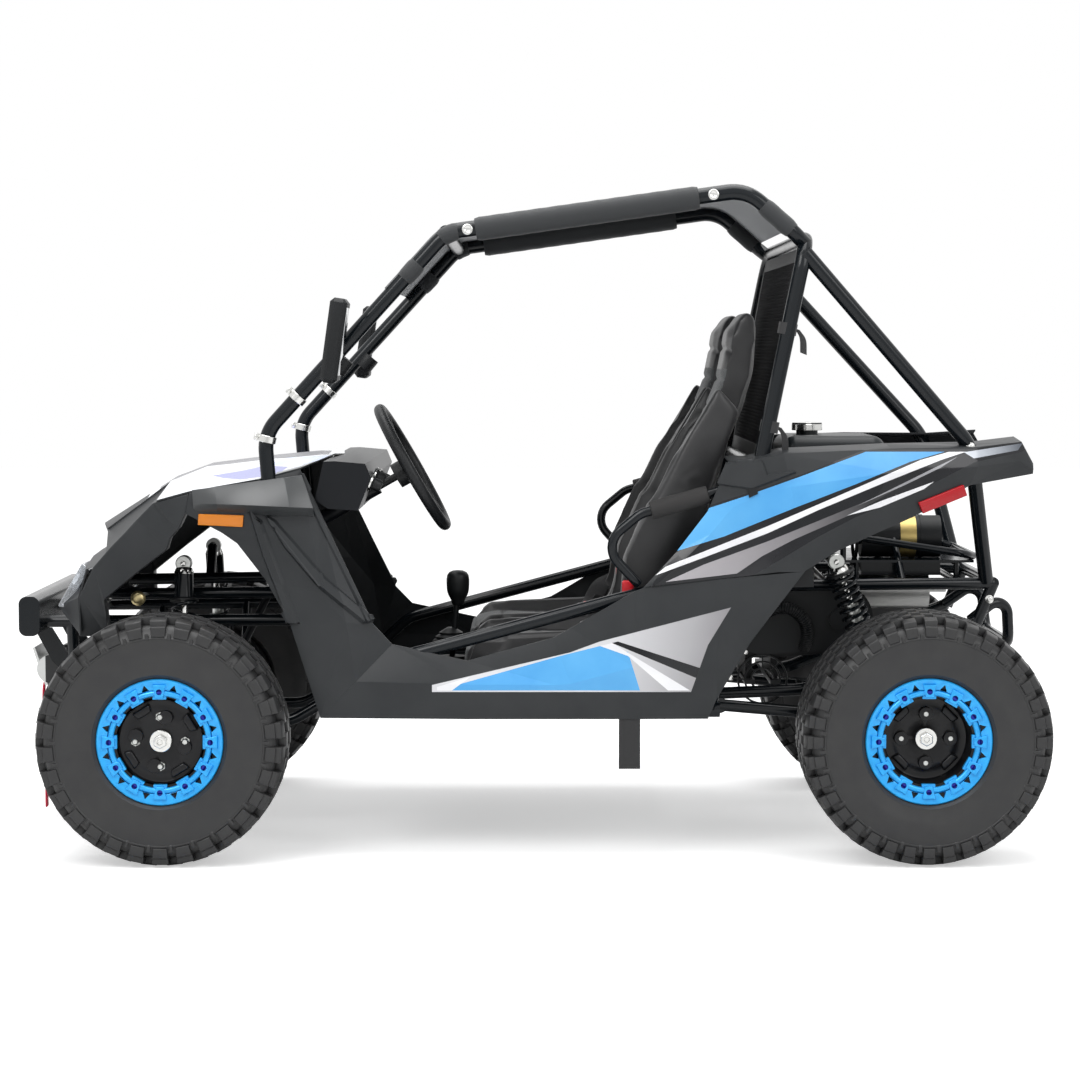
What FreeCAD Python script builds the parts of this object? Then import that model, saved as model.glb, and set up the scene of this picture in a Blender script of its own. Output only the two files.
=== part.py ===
import FreeCAD, Part
import math
import os
from FreeCAD import Placement, Rotation, Vector

# Off-road two-seat dune buggy with a bolted tube cage, faceted plastic panels and ATV tyres.
# Frame: +X forward, +Y left, +Z up, origin on the ground under the middle of the outline.
# Each side shows the left piece; the right one is its mirror image.

document = FreeCAD.newDocument("DuneBuggy")
sheet = document.addObject("Spreadsheet::Sheet", "Sizes")

driving = {
    # wheels and track
    "front_axle_x": 800,
    "wheel_base": 1700,
    "tyre_radius": 279.5,
    "track_half": 665,
    "front_tyre_width": 178,
    "rear_tyre_width": 254,
    "lug_height": 15,
    "tread_pitches": 20,
    "block_length": 50,
    "shoulder_inset": 22,
    "crown_drop": 1,
    "rim_radius": 127,
    "ring_radius": 140.6,
    "ring_inner": 98,
    "ring_thickness": 14,
    "pad_height": 5,
    "window_depth": 6,
    "barrel_radius": 116,
    "rim_wall": 4,
    "lug_circle": 110,
    "lug_count": 4,
    "pad_count": 12,
    "front_dish_depth": 30,
    "rear_dish_depth": 76,
    "rim_half_front": 72,
    "rim_half_rear": 104,
    # front suspension and steering
    "kingpin_inset": 76,
    "kingpin_radius": 8,
    "lower_joint_z": 185,
    "upper_joint_z": 375,
    "arm_pivot_y": 200,
    "arm_half_span": 80,
    "lower_pivot_z": 250,
    "upper_pivot_z": 395,
    "arm_tube": 11,
    "boss_radius": 15,
    "boss_half": 11,
    "spindle_radius": 12,
    "steer_arm": 75,
    "steer_arm_z": 290,
    "tie_rod_radius": 7,
    "rack_half": 160,
    "rack_travel": 32.8,
    "wheel_disc_radius": 80,
    "steering_radius": 154,
    "steering_rim": 13.5,
    "column_radius": 17,
    "shaft_radius": 9,
    # rear axle
    "coil_turns": 8,
    "coil_sides": 12,
    "axle_radius": 15,
    "carrier_gap": 111,
    "carrier_radius": 36,
    "sprocket_radius": 88,
    "sprocket_y": -70,
    "rear_disc_radius": 85,
    "rear_disc_y": 70,
    # tube frame
    "cage_tube": 17,
    "rail_bend": 60,
    "frame_tube": 14,
    "rail_tube": 15,
    "sill_tube": 19,
    "tunnel_tube": 11.5,
    "loop_tube": 11,
    "sill_height": 335,
    "sill_inset": 5,
    "cage_half": 505,
    "pillar_inset": 25,
    "hoop_foot_x": -422,
    "hoop_top_x": -637,
    "hoop_top_z": 1375,
    "roof_front_x": 170,
    "roof_front_z": 1405,
    "roof_apex_z": 1499,
    "front_rail_y": 230,
    "lower_rail_y": 165,
    "rear_rail_y": 230,
    # panels
    "panel_thickness": 4,
    "panel_inset": 20,
    "sill_stand_off": 40,
    "fender_stand_off": 57,
    "tail_half": 350,
    "seat_inset": 55,
    "seat_width": 430,
    "mirror_tilt": 8,
    "floor_plate": 3,
    "bearer_y": 105,
    "rack_hole_along": 260,
    "rack_hole_across": 340,
    "rack_hole_radius": 4.5,
    "running_gap": 0.05,
    "fit_gap": 0.3,
}

for row, (alias, value) in enumerate(driving.items(), start=1):
    sheet.set("A%d" % row, alias)
    sheet.set("B%d" % row, str(value))
    sheet.setAlias("B%d" % row, alias)
document.recompute()


def size(alias):
    return float(sheet.get(alias))


rear_axle_x = size("front_axle_x") - size("wheel_base")
axle_z = size("tyre_radius")
pieces = []

# Widths that follow the cage and the track
cage_half = size("cage_half")
sill_y = cage_half - size("sill_inset")
pillar_y = cage_half - size("pillar_inset")
panel_half = cage_half - size("panel_inset")
sill_half = cage_half + size("sill_stand_off")
fender_half = cage_half + size("fender_stand_off")
seat_y = cage_half - size("seat_inset") - size("seat_width") / 2
front_half = size("front_tyre_width") / 2
rear_half = size("rear_tyre_width") / 2
kingpin_y = size("track_half") - front_half - size("kingpin_inset")
carrier_y = size("track_half") - 2 * rear_half - size("carrier_gap")


# Helpers for places: offsets from the front axle, the rear axle or the sill line

def front(along, across, above):
    return Vector(size("front_axle_x") + along, across, axle_z + above)


def rear(along, across, above):
    return Vector(rear_axle_x + along, across, axle_z + above)


def cabin(along, across, above):
    return Vector(along, across, size("sill_height") + above)


# Helpers for shapes

def tube(route, radius, bend=size("rail_bend")):
    edges = []
    start = route[0]
    for before, corner, after in zip(route, route[1:], route[2:]):
        back = before.sub(corner)
        ahead = after.sub(corner)
        reach = 0.48 * min(back.Length, ahead.Length)
        back.normalize()
        ahead.normalize()
        half = back.getAngle(ahead) / 2
        arc_radius = min(bend, reach * math.tan(half))
        trim = arc_radius / math.tan(half)
        middle = back.add(ahead).normalize()
        middle = corner.add(middle.multiply(arc_radius / math.sin(half) - arc_radius))
        first = corner.add(Vector(back).multiply(trim))
        last = corner.add(Vector(ahead).multiply(trim))
        edges.append(Part.LineSegment(start, first).toShape())
        edges.append(Part.Arc(first, middle, last).toShape())
        start = last
    edges.append(Part.LineSegment(start, route[-1]).toShape())
    circle = Part.Circle(route[0], route[1].sub(route[0]), radius)
    return Part.Wire(edges).makePipeShell([Part.Wire([circle.toShape()])], True, False)


def rod(start, end, radius):
    along = end.sub(start)
    return Part.makeCylinder(radius, along.Length, start, along)


def block(low, high):
    return Part.makeBox(high[0] - low[0], high[1] - low[1], high[2] - low[2], Vector(*low))


def slab(outline, y_low, y_high):
    points = [Vector(x, y_low, z) for x, z in outline]
    face = Part.Face(Part.makePolygon(points + points[:1]))
    return face.extrude(Vector(0, y_high - y_low, 0))


def fused(shapes):
    return shapes[0].multiFuse(shapes[1:]).removeSplitter()


def other_side(shape):
    return shape.mirror(Vector(0, 0, 0), Vector(0, 1, 0))


def flipped(point):
    return Vector(point.x, -point.y, point.z)


def both_sides(shape):
    return Part.makeCompound([shape, other_side(shape)])


def faceted_ring(outline, sides):
    # A ring of flat facets about the Y axis, from an outline of (across, radius at mid facet).
    half = math.pi / sides
    chains = []
    for across, reach in outline:
        corner = reach / math.cos(half)
        chains.append([Vector(corner * math.sin(half * (2 * index + 1)), across,
                              corner * math.cos(half * (2 * index + 1))) for index in range(sides)])
    faces = []
    for first, second in zip(chains, chains[1:] + chains[:1]):
        for index in range(sides):
            loop = [first[index - 1], first[index], second[index], second[index - 1], first[index - 1]]
            faces.append(Part.Face(Part.makePolygon(loop)))
    shell = Part.makeShell(faces)
    shell.sewShape()
    solid = Part.makeSolid(Part.Shell(shell.Faces))
    if solid.Volume < 0:
        solid.reverse()
    return solid


def hex_bar(start, length, radius):
    corners = [start.add(Vector(radius * math.sin(math.pi * index / 3), 0,
                                radius * math.cos(math.pi * index / 3)))
               for index in range(6)]
    return Part.Face(Part.makePolygon(corners + corners[:1])).extrude(Vector(0, length, 0))


def coped(shape, *others):
    for other in others:
        for solid in other.Solids:
            if shape.BoundBox.intersect(solid.BoundBox):
                shape = shape.cut(solid)
    return shape


def panel(strips, push):
    # A folded sheet: each strip joins two chains of points, and push gives its thickness.
    corners = []
    for upper, lower in strips:
        for a, b, c, d in zip(upper, upper[1:], lower[1:], lower):
            corners.append((a, b, c))
            corners.append((a, c, d))

    def key(point):
        return (round(point.x, 3), round(point.y, 3), round(point.z, 3))

    faces = []
    rims = {}
    for triangle in corners:
        marks = [key(point) for point in triangle]
        if len(set(marks)) < 3:
            continue
        inner = [point.add(push) for point in triangle]
        faces.append(Part.Face(Part.makePolygon(list(triangle) + [triangle[0]])))
        faces.append(Part.Face(Part.makePolygon(inner + [inner[0]])))
        for index in range(3):
            start = triangle[index]
            end = triangle[(index + 1) % 3]
            rims.setdefault(frozenset((key(start), key(end))), []).append((start, end))
    for sharing in rims.values():
        if len(sharing) == 1:
            start, end = sharing[0]
            loop = [start, end, end.add(push), start.add(push), start]
            faces.append(Part.Face(Part.makePolygon(loop)))
    shell = Part.makeShell(faces)
    shell.sewShape()
    solid = Part.makeSolid(Part.Shell(shell.Faces))
    if solid.Volume < 0:
        solid.reverse()
    return solid.removeSplitter()


def feature(label, shape, place=Placement()):
    item = document.addObject("Part::Feature", label)
    item.Label = label
    item.Shape = shape
    item.Placement = place
    pieces.append(item)
    return item


# Roll cage

cage_tube = size("cage_tube")
pillar_foot = cabin(430, sill_y, 0)
pillar_knee = cabin(560, pillar_y, 365)
pillar_base = cabin(580, pillar_y, 565)
pillar_top = Vector(size("roof_front_x"), cage_half - 5, size("roof_front_z"))
roof_apex = Vector(-500, cage_half, size("roof_apex_z"))
hoop_foot = Vector(size("hoop_foot_x"), cage_half, size("sill_height"))
hoop_top = Vector(size("hoop_top_x"), cage_half, size("hoop_top_z") + cage_tube)
hoop_rise = hoop_top.sub(hoop_foot)


def on_hoop(height, across=cage_half):
    share = (height - hoop_foot.z) / hoop_rise.z
    return Vector(hoop_foot.x + share * hoop_rise.x, across, height)


def on_pillar(height):
    share = (height - pillar_base.z) / (pillar_top.z - pillar_base.z)
    step = pillar_top.sub(pillar_base).multiply(share)
    return pillar_base.add(step)


rail_end = on_hoop(hoop_top.z - 75)
brace_top = on_hoop(hoop_top.z - 30)
brace_low = rear(-123, 400, 645)
brace_foot = rear(-188, size("rear_rail_y") + 6, 324)
left_rail = tube([pillar_foot, pillar_knee, pillar_base.add(Vector(0, 0, 55)), pillar_top,
                  roof_apex, rail_end], cage_tube, 90)
hoop = tube([hoop_foot, hoop_top, flipped(hoop_top), flipped(hoop_foot)], cage_tube, 70)
brace = tube([brace_top, brace_low, brace_foot], cage_tube, 120)
roof_bar = rod(flipped(pillar_top), pillar_top, cage_tube)
waist_tube = rod(on_hoop(880, -cage_half), on_hoop(880), cage_tube)
loop_tube = size("loop_tube")
loop_y = cage_half + 22
loop_route = [on_hoop(838), Vector(-455, loop_y, 832), Vector(-265, loop_y, 778), Vector(-179, loop_y, 707),
              Vector(-262, cage_half + 3, 617)]
arm_loop = tube(loop_route, loop_tube, 60)
joint_rings = [rod(on_pillar(low), on_pillar(low + 22), cage_tube + 8) for low in (935, 1027)]
cage_left = [left_rail, brace, arm_loop] + joint_rings
cage_shape = fused(cage_left + [other_side(item) for item in cage_left] + [hoop, roof_bar, waist_tube])
feature("roll_cage", cage_shape)

# Floor frame: sills, cross tubes, tunnel tubes and the side rails beside the seats
rail_tube = size("rail_tube")
sill_tube = size("sill_tube")
tunnel_tube = size("tunnel_tube")
frame_tube = size("frame_tube")
sill_z = size("sill_height")
floor_front = 430
floor_rear = hoop_foot.x
side_rail = tube([cabin(412, sill_y, 8), cabin(300, sill_y + 3, 110), on_hoop(655)], rail_tube, 80)
floor_tubes = [side_rail, other_side(side_rail)]
for side in (-1, 1):
    floor_tubes.append(rod(cabin(floor_front + 22, side * sill_y, 0), cabin(floor_rear - 24, side * sill_y,
                                                                            0),
                           sill_tube))
    floor_tubes.append(rod(cabin(floor_front, side * 60, 0), cabin(floor_rear, side * 60, 0), tunnel_tube))
for along in (floor_front, 60, floor_rear):
    floor_tubes.append(rod(cabin(along, -sill_y, 0), cabin(along, sill_y, 0), frame_tube))
floor_shape = coped(fused(floor_tubes), cage_shape)
feature("floor_frame", floor_shape)

# Front frame: two welded sides, and the bars across them
front_rail_y = size("front_rail_y")
lower_rail_y = size("lower_rail_y")
pivot_y = size("arm_pivot_y")
half_span = size("arm_half_span")
lower_pivot_z = size("lower_pivot_z")
upper_pivot_z = size("upper_pivot_z")


def on_foot(height, across):
    share = (height - pillar_foot.z) / (pillar_knee.z - pillar_foot.z)
    return Vector(pillar_foot.x + share * (pillar_knee.x - pillar_foot.x), across, height)


top_rail_z = sill_z + 241
mid_rail_z = sill_z + 176
low_rail_z = lower_pivot_z + 14
nose_end = size("front_axle_x") + 262
shock_head = front(-13, 300, 370)
bar_radius = frame_tube - 2
side_frames = []
for side in (-1, 1):
    front_parts = []
    rail_y = side * front_rail_y
    low_y = side * lower_rail_y
    front_parts.append(rod(on_foot(sill_z, rail_y), on_foot(top_rail_z, rail_y), frame_tube))
    front_parts.append(rod(on_foot(top_rail_z, rail_y), front(190, side * 215, 290), frame_tube))
    front_parts.append(rod(on_foot(mid_rail_z, rail_y), Vector(nose_end, side * 215, mid_rail_z - 5),
                           frame_tube))
    front_parts.append(tube([cabin(floor_front, low_y, 0), front(-250, low_y, low_rail_z - axle_z),
                             Vector(nose_end, low_y, low_rail_z)], frame_tube, 80))
    for along in (-105, 105):
        foot = Vector(size("front_axle_x") + along, low_y, low_rail_z)
        knee = Vector(size("front_axle_x") + along, side * pivot_y - side * 27, upper_pivot_z)
        head = Vector(size("front_axle_x") + along, side * (front_rail_y - 10), mid_rail_z)
        front_parts.append(tube([foot, knee, head], frame_tube - 3, 60))
    for height in (lower_pivot_z, upper_pivot_z):
        pin_start = Vector(size("front_axle_x") - half_span - 38, side * pivot_y, height)
        pin_end = Vector(size("front_axle_x") + half_span + 38, side * pivot_y, height)
        front_parts.append(rod(pin_start, pin_end, 6))
        for along in (-105, 105):
            middle = size("front_axle_x") + along
            inner = side * (pivot_y - 36)
            outer = side * (pivot_y + 10)
            front_parts.append(block((middle - 3, min(inner, outer), height - 10),
                                     (middle + 3, max(inner, outer), height + 14)))
    tower_foot = front(-13, side * 222, 290)
    front_parts.append(rod(tower_foot, Vector(shock_head.x, side * 275, shock_head.z), frame_tube - 2))
    front_parts.append(rod(Vector(nose_end, low_y, low_rail_z), Vector(nose_end, side * 215, mid_rail_z - 5),
                           frame_tube))
    side_frames.append(coped(fused(front_parts), cage_shape, floor_shape))
side_frames = Part.makeCompound(side_frames)
feature("front_frame", side_frames)
front_bars = []
for height, across in ((low_rail_z, lower_rail_y), (mid_rail_z - 5, 215)):
    front_bars.append(rod(Vector(nose_end, -across, height), Vector(nose_end, across, height), bar_radius))
front_bars.append(rod(on_foot(top_rail_z, -sill_y + 10), on_foot(top_rail_z, sill_y - 10), bar_radius))
dash_bar_z = sill_z + 405
front_bars.append(rod(Vector(pillar_knee.x + 4, -pillar_y, dash_bar_z),
                      Vector(pillar_knee.x + 4, pillar_y, dash_bar_z), bar_radius))
front_bars = [coped(item, side_frames, cage_shape, floor_shape) for item in front_bars]
bar_solids = [solid for item in front_bars for solid in item.Solids]
front_crossbars = Part.makeCompound(bar_solids)
feature("front_crossbars", front_crossbars)
front_shape = Part.makeCompound(side_frames.Solids + bar_solids)

# Rear frame: upper rails, engine cradle, rack post and rear bumper tube
rear_rail_y = size("rear_rail_y")
top_rear_z = sill_z + 262
cradle_z = sill_z + 10
tail_x = rear_axle_x - 206
cradle_end = Vector(tail_x + 40, rear_rail_y, sill_z + 172)
shock_bar_x = rear_axle_x + 175
shock_bar_z = axle_z + 376
rear_parts = [rod(on_hoop(top_rear_z, -cage_half), on_hoop(top_rear_z), frame_tube)]
rear_parts.append(rod(Vector(shock_bar_x, -340, shock_bar_z), Vector(shock_bar_x, 340, shock_bar_z),
                      frame_tube))
rear_parts.append(rod(Vector(tail_x, -rear_rail_y, top_rear_z), Vector(tail_x, rear_rail_y, top_rear_z),
                      frame_tube))
for side in (-1, 1):
    rail_y = side * rear_rail_y
    rear_parts.append(rod(on_hoop(top_rear_z, side * 300), Vector(tail_x, rail_y, top_rear_z), frame_tube))
    rear_parts.append(tube([cabin(floor_rear, rail_y, 0), Vector(rear_axle_x + 240, rail_y, cradle_z),
                            Vector(cradle_end.x, rail_y, cradle_end.z)], frame_tube, 120))
    rear_parts.append(rod(Vector(cradle_end.x, rail_y, cradle_end.z - 6), Vector(tail_x, rail_y, top_rear_z),
                          frame_tube))
    rear_parts.append(rod(Vector(shock_bar_x, side * 262, shock_bar_z),
                          Vector(shock_bar_x, side * 270, top_rear_z), frame_tube - 2))
bumper_low = axle_z + 170
rear_bumper = tube([Vector(cradle_end.x + 10, rear_rail_y - 20, cradle_end.z),
                    Vector(tail_x - 38, rear_rail_y - 40, cradle_end.z + 66),
                    Vector(tail_x - 48, rear_rail_y - 60, bumper_low),
                    Vector(tail_x - 48, -rear_rail_y + 60, bumper_low),
                    Vector(tail_x - 38, -rear_rail_y + 40, cradle_end.z + 66),
                    Vector(cradle_end.x + 10, -rear_rail_y + 20, cradle_end.z)], frame_tube - 1, 40)
rear_parts.append(rear_bumper)
tank_front = rear_axle_x + 284
tank_rear = rear_axle_x + 37
tank_base = sill_z + 425
bearer_z = tank_base - 9
bearer_y = size("bearer_y")
rear_parts.append(rod(on_hoop(bearer_z, -cage_half), on_hoop(bearer_z), 12))
for side in (-1, 1):
    rear_parts.append(tube([on_hoop(bearer_z, side * bearer_y), Vector(tank_rear - 12, side * bearer_y,
                                                                       bearer_z),
                            Vector(tank_rear - 30, side * 236, top_rear_z)], 9, 50))
rear_shape = coped(fused([coped(item, cage_shape) for item in rear_parts]), floor_shape)
feature("rear_frame", rear_shape)

# Floor and footwell plates
plate = size("floor_plate")
floor_top = sill_z + frame_tube + plate
floor_plate = block((floor_rear + frame_tube + 4, -sill_y + sill_tube + 1, floor_top - plate),
                    (floor_front - 10, sill_y - sill_tube - 1, floor_top))
floor_plate = coped(floor_plate, cage_shape, floor_shape)
foot_high = on_foot(top_rail_z - frame_tube, 0)
foot_shift = -frame_tube - plate - 3
footwell = slab([(floor_front - 10, floor_top - plate), (foot_high.x + foot_shift, foot_high.z),
                 (foot_high.x + foot_shift - plate, foot_high.z), (floor_front - 10 - plate, floor_top)],
                -sill_y + 30, sill_y - 30)

# Steering column, lower shaft and rack housing
wheel_centre = Vector(258, seat_y, sill_z + 535)
column_axis = Vector(-0.870, 0, 0.492)
column_axis.normalize()


def on_column(distance):
    return wheel_centre.sub(Vector(column_axis).multiply(distance))


rack_x = size("front_axle_x") - size("steer_arm")
rack_z = size("steer_arm_z") + 20
shaft_radius = size("shaft_radius")
rack_end = Vector(rack_x, 110, rack_z + 26)
column_low = on_column(300)
column_tube = rod(on_column(92), column_low, size("column_radius"))
column_bore = rod(on_column(60), on_column(150), shaft_radius + size("running_gap"))
lower_shaft = rod(column_low, rack_end, shaft_radius)
joint_ball = Part.makeSphere(size("column_radius") + 3, column_low)
rack_half = size("rack_half")
rack_box = rod(Vector(rack_x, -rack_half, rack_z), Vector(rack_x, rack_half, rack_z), 20)
pinion_box = Part.makeCylinder(22, 52, Vector(rack_x, 110, rack_z - 24))
rack_bore = rod(Vector(rack_x, -rack_half - 5, rack_z), Vector(rack_x, rack_half + 5, rack_z),
                size("tie_rod_radius") + 5)
rack_foot = block((rack_x - 8, -120, low_rail_z + 10), (rack_x + 8, 120, rack_z - 12))
rack_bar = block((rack_x - 12, -lower_rail_y, low_rail_z + 4), (rack_x + 12, lower_rail_y, low_rail_z + 12))
column_shape = fused([column_tube, joint_ball, lower_shaft])
column_shape = column_shape.cut(column_bore)
rack_shape = fused([rack_box, pinion_box, rack_foot, rack_bar]).cut(rack_bore)
column_support = rod(on_column(258), Vector(pillar_knee.x + 4, wheel_centre.y, dash_bar_z), 8)
column_shape = fused([column_shape, column_support, rack_shape])
column_shape = coped(column_shape, front_shape, cage_shape)
footwell = coped(footwell, cage_shape, floor_shape, front_shape, column_shape)
feature("floor_pan", fused([floor_plate, footwell]))
feature("steering_column", column_shape)

# Rack bar and tie rods, one sliding piece
tie_radius = size("tie_rod_radius")
arm_boss_top = size("steer_arm_z") + size("boss_half")
eye_z = arm_boss_top + size("fit_gap")
rack_slide = rod(Vector(rack_x, -rack_half - 45, rack_z), Vector(rack_x, rack_half + 45, rack_z),
                 tie_radius + 5 - size("running_gap"))
tie_parts = [rack_slide]
for side in (-1, 1):
    tie_parts.append(rod(Vector(rack_x, side * (rack_half + 40), rack_z),
                         Vector(rack_x, side * (kingpin_y - 8), rack_z), tie_radius))
    tie_parts.append(Part.makeCylinder(12, 18, Vector(rack_x, side * kingpin_y, eye_z)))
    tie_parts.append(rod(Vector(rack_x, side * (rack_half + size("rack_travel") + 6), rack_z),
                         Vector(rack_x, side * (rack_half + 62), rack_z), tie_radius + 6))
tie_shape = fused(tie_parts)
feature("tie_rods", tie_shape)

# Front suspension arms: two tubes from the pivot bushes to the joint boss
boss_radius = size("boss_radius")
boss_half = size("boss_half")
arm_tube = size("arm_tube")
kingpin_radius = size("kingpin_radius")
arm_shapes = []
for joint_z, pivot_z, drop in ((size("lower_joint_z"), lower_pivot_z, 4),
                               (size("upper_joint_z"), upper_pivot_z, 0)):
    boss_centre = Vector(size("front_axle_x"), kingpin_y, joint_z)
    parts = [Part.makeCylinder(boss_radius, 2 * boss_half, boss_centre.sub(Vector(0, 0, boss_half)))]
    for along in (-half_span, half_span):
        bush = Vector(size("front_axle_x") + along, pivot_y, pivot_z)
        parts.append(rod(bush, boss_centre.add(Vector(along * 0.04, -4, -drop)), arm_tube))
        parts.append(rod(bush.sub(Vector(16, 0, 0)), bush.add(Vector(16, 0, 0)), arm_tube + 3))
    arm = fused(parts)
    bore = Part.makeCylinder(kingpin_radius + size("running_gap"), 4 * boss_half,
                             boss_centre.sub(Vector(0, 0, 2 * boss_half)))
    arm = arm.cut(bore)
    if joint_z == size("lower_joint_z"):
        mount = boss_centre.add(Vector(-25, -100, 30))
        arm = fused([arm, rod(mount.sub(Vector(20, 0, 0)), mount.add(Vector(20, 0, 0)), 9),
                     block((mount.x - 20, mount.y - 12, mount.z - 26),
                           (mount.x - 14, mount.y + 12, mount.z + 8)),
                     block((mount.x + 14, mount.y - 12, mount.z - 26),
                           (mount.x + 20, mount.y + 12, mount.z + 8)),
                     block((mount.x - 20, mount.y - 12, mount.z - 26),
                           (mount.x + 45, mount.y + 12, mount.z - 16))])
        front_shock_low = mount
    arm_shapes.append(coped(arm, front_shape))
arm_solids = [solid for arm in arm_shapes for solid in (arm, other_side(arm))]
arms_shape = Part.makeCompound(arm_solids)
feature("front_arms", arms_shape)


def spring(start, along, length, radius, core):
    # The coils as raised rings round the damper's body
    pitch = length / int(size("coil_turns"))
    outline = [(0, core - 6)]
    for index in range(int(size("coil_turns"))):
        low = index * pitch
        outline += [(low, core), (low + 0.12 * pitch, radius), (low + 0.5 * pitch, radius),
                    (low + 0.62 * pitch, core)]
    outline += [(length, core), (length, core - 6)]
    ring = faceted_ring(outline, int(size("coil_sides")))
    ring.Placement = Placement(start, Rotation(Vector(0, 1, 0), along))
    return ring


def shock(head, foot, coil_radius, body_radius):
    along = foot.sub(head)
    span = along.Length
    along.normalize()

    def at(distance):
        return head.add(Vector(along).multiply(distance))

    parts = [rod(at(12), at(span * 0.55), body_radius), rod(at(span * 0.5), at(span - 12),
                                                            body_radius * 0.55)]
    parts.append(spring(at(span * 0.16), along, span * 0.66, coil_radius, body_radius + 0.6))
    for end in (head, foot):
        parts.append(rod(end.sub(Vector(13, 0, 0)), end.add(Vector(13, 0, 0)), body_radius * 0.85))
    return fused(parts)


front_shock = shock(shock_head, front_shock_low, 27, 19)
front_shock = coped(front_shock, arms_shape, front_shape)
feature("front_shocks", both_sides(front_shock))

# Knuckles: upright, kingpins, spindle and steering arm
def knuckle():
    low = size("lower_joint_z") + boss_half + size("fit_gap")
    high = size("upper_joint_z") - boss_half - size("fit_gap")
    across = Vector(size("front_axle_x"), kingpin_y, 0)
    upright = Part.makeCylinder(boss_radius - 1, high - low, across.add(Vector(0, 0, low)))
    pin_low = size("lower_joint_z") - boss_half - 4
    pin_high = size("upper_joint_z") + boss_half + 4
    pin = Part.makeCylinder(kingpin_radius, pin_high - pin_low, across.add(Vector(0, 0, pin_low)))
    spindle = rod(front(0, kingpin_y, 0), front(0, hub_face - 6, 0), size("spindle_radius"))
    collar = rod(front(0, kingpin_y, 0), front(0, kingpin_y + 16, 0), 22)
    arm_low = size("steer_arm_z") - boss_half
    arm_eye = Part.makeCylinder(13, 2 * boss_half, Vector(rack_x, kingpin_y, arm_low))
    arm = block((rack_x, kingpin_y - 9, arm_low + 2), (size("front_axle_x"), kingpin_y + 9, arm_boss_top - 2))
    return fused([upright, pin, spindle, collar, arm_eye, arm])


# Wheels: rims, hubs and tyres are turned about the wheel axis, outer face towards +Y

def base_plane(body, role):
    return [item for item in body.Origin.OriginFeatures if item.Role == role][0]


def outline_sketch(body, role, name, points, lift=0):
    sketch = body.newObject("Sketcher::SketchObject", name)
    sketch.AttachmentSupport = [(base_plane(body, role), "")]
    sketch.MapMode = "FlatFace"
    if lift:
        sketch.AttachmentOffset = Placement(Vector(0, 0, lift), Rotation())
    for start, end in zip(points, points[1:] + points[:1]):
        sketch.addGeometry(Part.LineSegment(Vector(start[0], start[1], 0), Vector(end[0], end[1], 0)))
    return sketch


def turned_body(label, outline):
    body = document.addObject("PartDesign::Body", label)
    sketch = outline_sketch(body, "YZ_Plane", label + "_profile", outline)
    document.recompute()
    turn = body.newObject("PartDesign::Revolution", label + "_turn")
    turn.Profile = sketch
    turn.ReferenceAxis = (sketch, ["H_Axis"])
    turn.Angle = 360
    body.Tip = turn
    document.recompute()
    return body


def polar_feature(body, base, name, count_alias):
    pattern = body.newObject("PartDesign::PolarPattern", name)
    pattern.Originals = [base]
    pattern.Axis = (base_plane(body, "Y_Axis"), [""])
    pattern.Angle = 360
    pattern.setExpression("Occurrences", "Sizes." + count_alias)
    body.Tip = pattern
    document.recompute()
    return pattern


def rim_body(label, half_width, dish_depth):
    wall = size("rim_wall")
    ring_face = half_width + 6
    ring_front = ring_face - size("pad_height")
    ring_back = ring_face - size("ring_thickness")
    dish = ring_face - dish_depth
    barrel = size("barrel_radius")
    seat = size("rim_radius")
    flange = size("ring_radius") - 3
    outline = [(dish - wall, 18), (dish, 18), (dish, size("ring_inner") - 4),
               (ring_front, size("ring_inner")), (ring_front, size("ring_radius")),
               (ring_back, size("ring_radius")), (ring_back - 3, seat), (ring_back - 20, seat),
               (ring_back - 36, barrel), (-half_width + 36, barrel), (-half_width + 24, seat),
               (-half_width + 6, seat), (-half_width + 4, flange), (-half_width, flange),
               (-half_width, seat - 2), (-half_width + 3, seat - wall), (-half_width + 22, seat - wall),
               (-half_width + 34, barrel - wall), (dish - wall - 14, barrel - wall),
               (dish - wall, size("ring_inner"))]
    body = turned_body(label, outline)
    hole = outline_sketch(body, "XZ_Plane", label + "_stud_hole", [])
    hole.addGeometry(Part.Circle(Vector(0, size("lug_circle") / 2, 0), Vector(0, 0, 1), 5.5))
    document.recompute()
    pocket = body.newObject("PartDesign::Pocket", label + "_stud_cut")
    pocket.Profile = hole
    pocket.Type = 1
    pocket.Midplane = True
    document.recompute()
    polar_feature(body, pocket, label + "_stud_holes", "lug_count")
    ring_low = size("ring_inner") + 1
    pad_outline = [(-9, ring_low), (9, ring_low), (15, seat - 1), (-15, seat - 1)]
    pad_sketch = outline_sketch(body, "XZ_Plane", label + "_pad_outline", pad_outline, 2 - ring_front)
    document.recompute()
    pad = body.newObject("PartDesign::Pad", label + "_pad")
    pad.Profile = pad_sketch
    pad.setExpression("Length", "(Sizes.pad_height + 2) * 1 mm")
    pad.Reversed = True
    polar_feature(body, pad, label + "_pads", "pad_count")
    turn = math.pi / size("pad_count")
    window = [(across * math.cos(turn) + reach * math.sin(turn),
               reach * math.cos(turn) - across * math.sin(turn))
              for across, reach in ((-12, seat - 11), (12, seat - 11), (0, seat + 5))]
    window_sketch = outline_sketch(body, "XZ_Plane", label + "_window_outline", window, -ring_front)
    document.recompute()
    recess = body.newObject("PartDesign::Pocket", label + "_window")
    recess.Profile = window_sketch
    recess.setExpression("Length", "Sizes.window_depth * 1 mm")
    recess.Reversed = True
    polar_feature(body, recess, label + "_windows", "pad_count")
    return body


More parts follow.
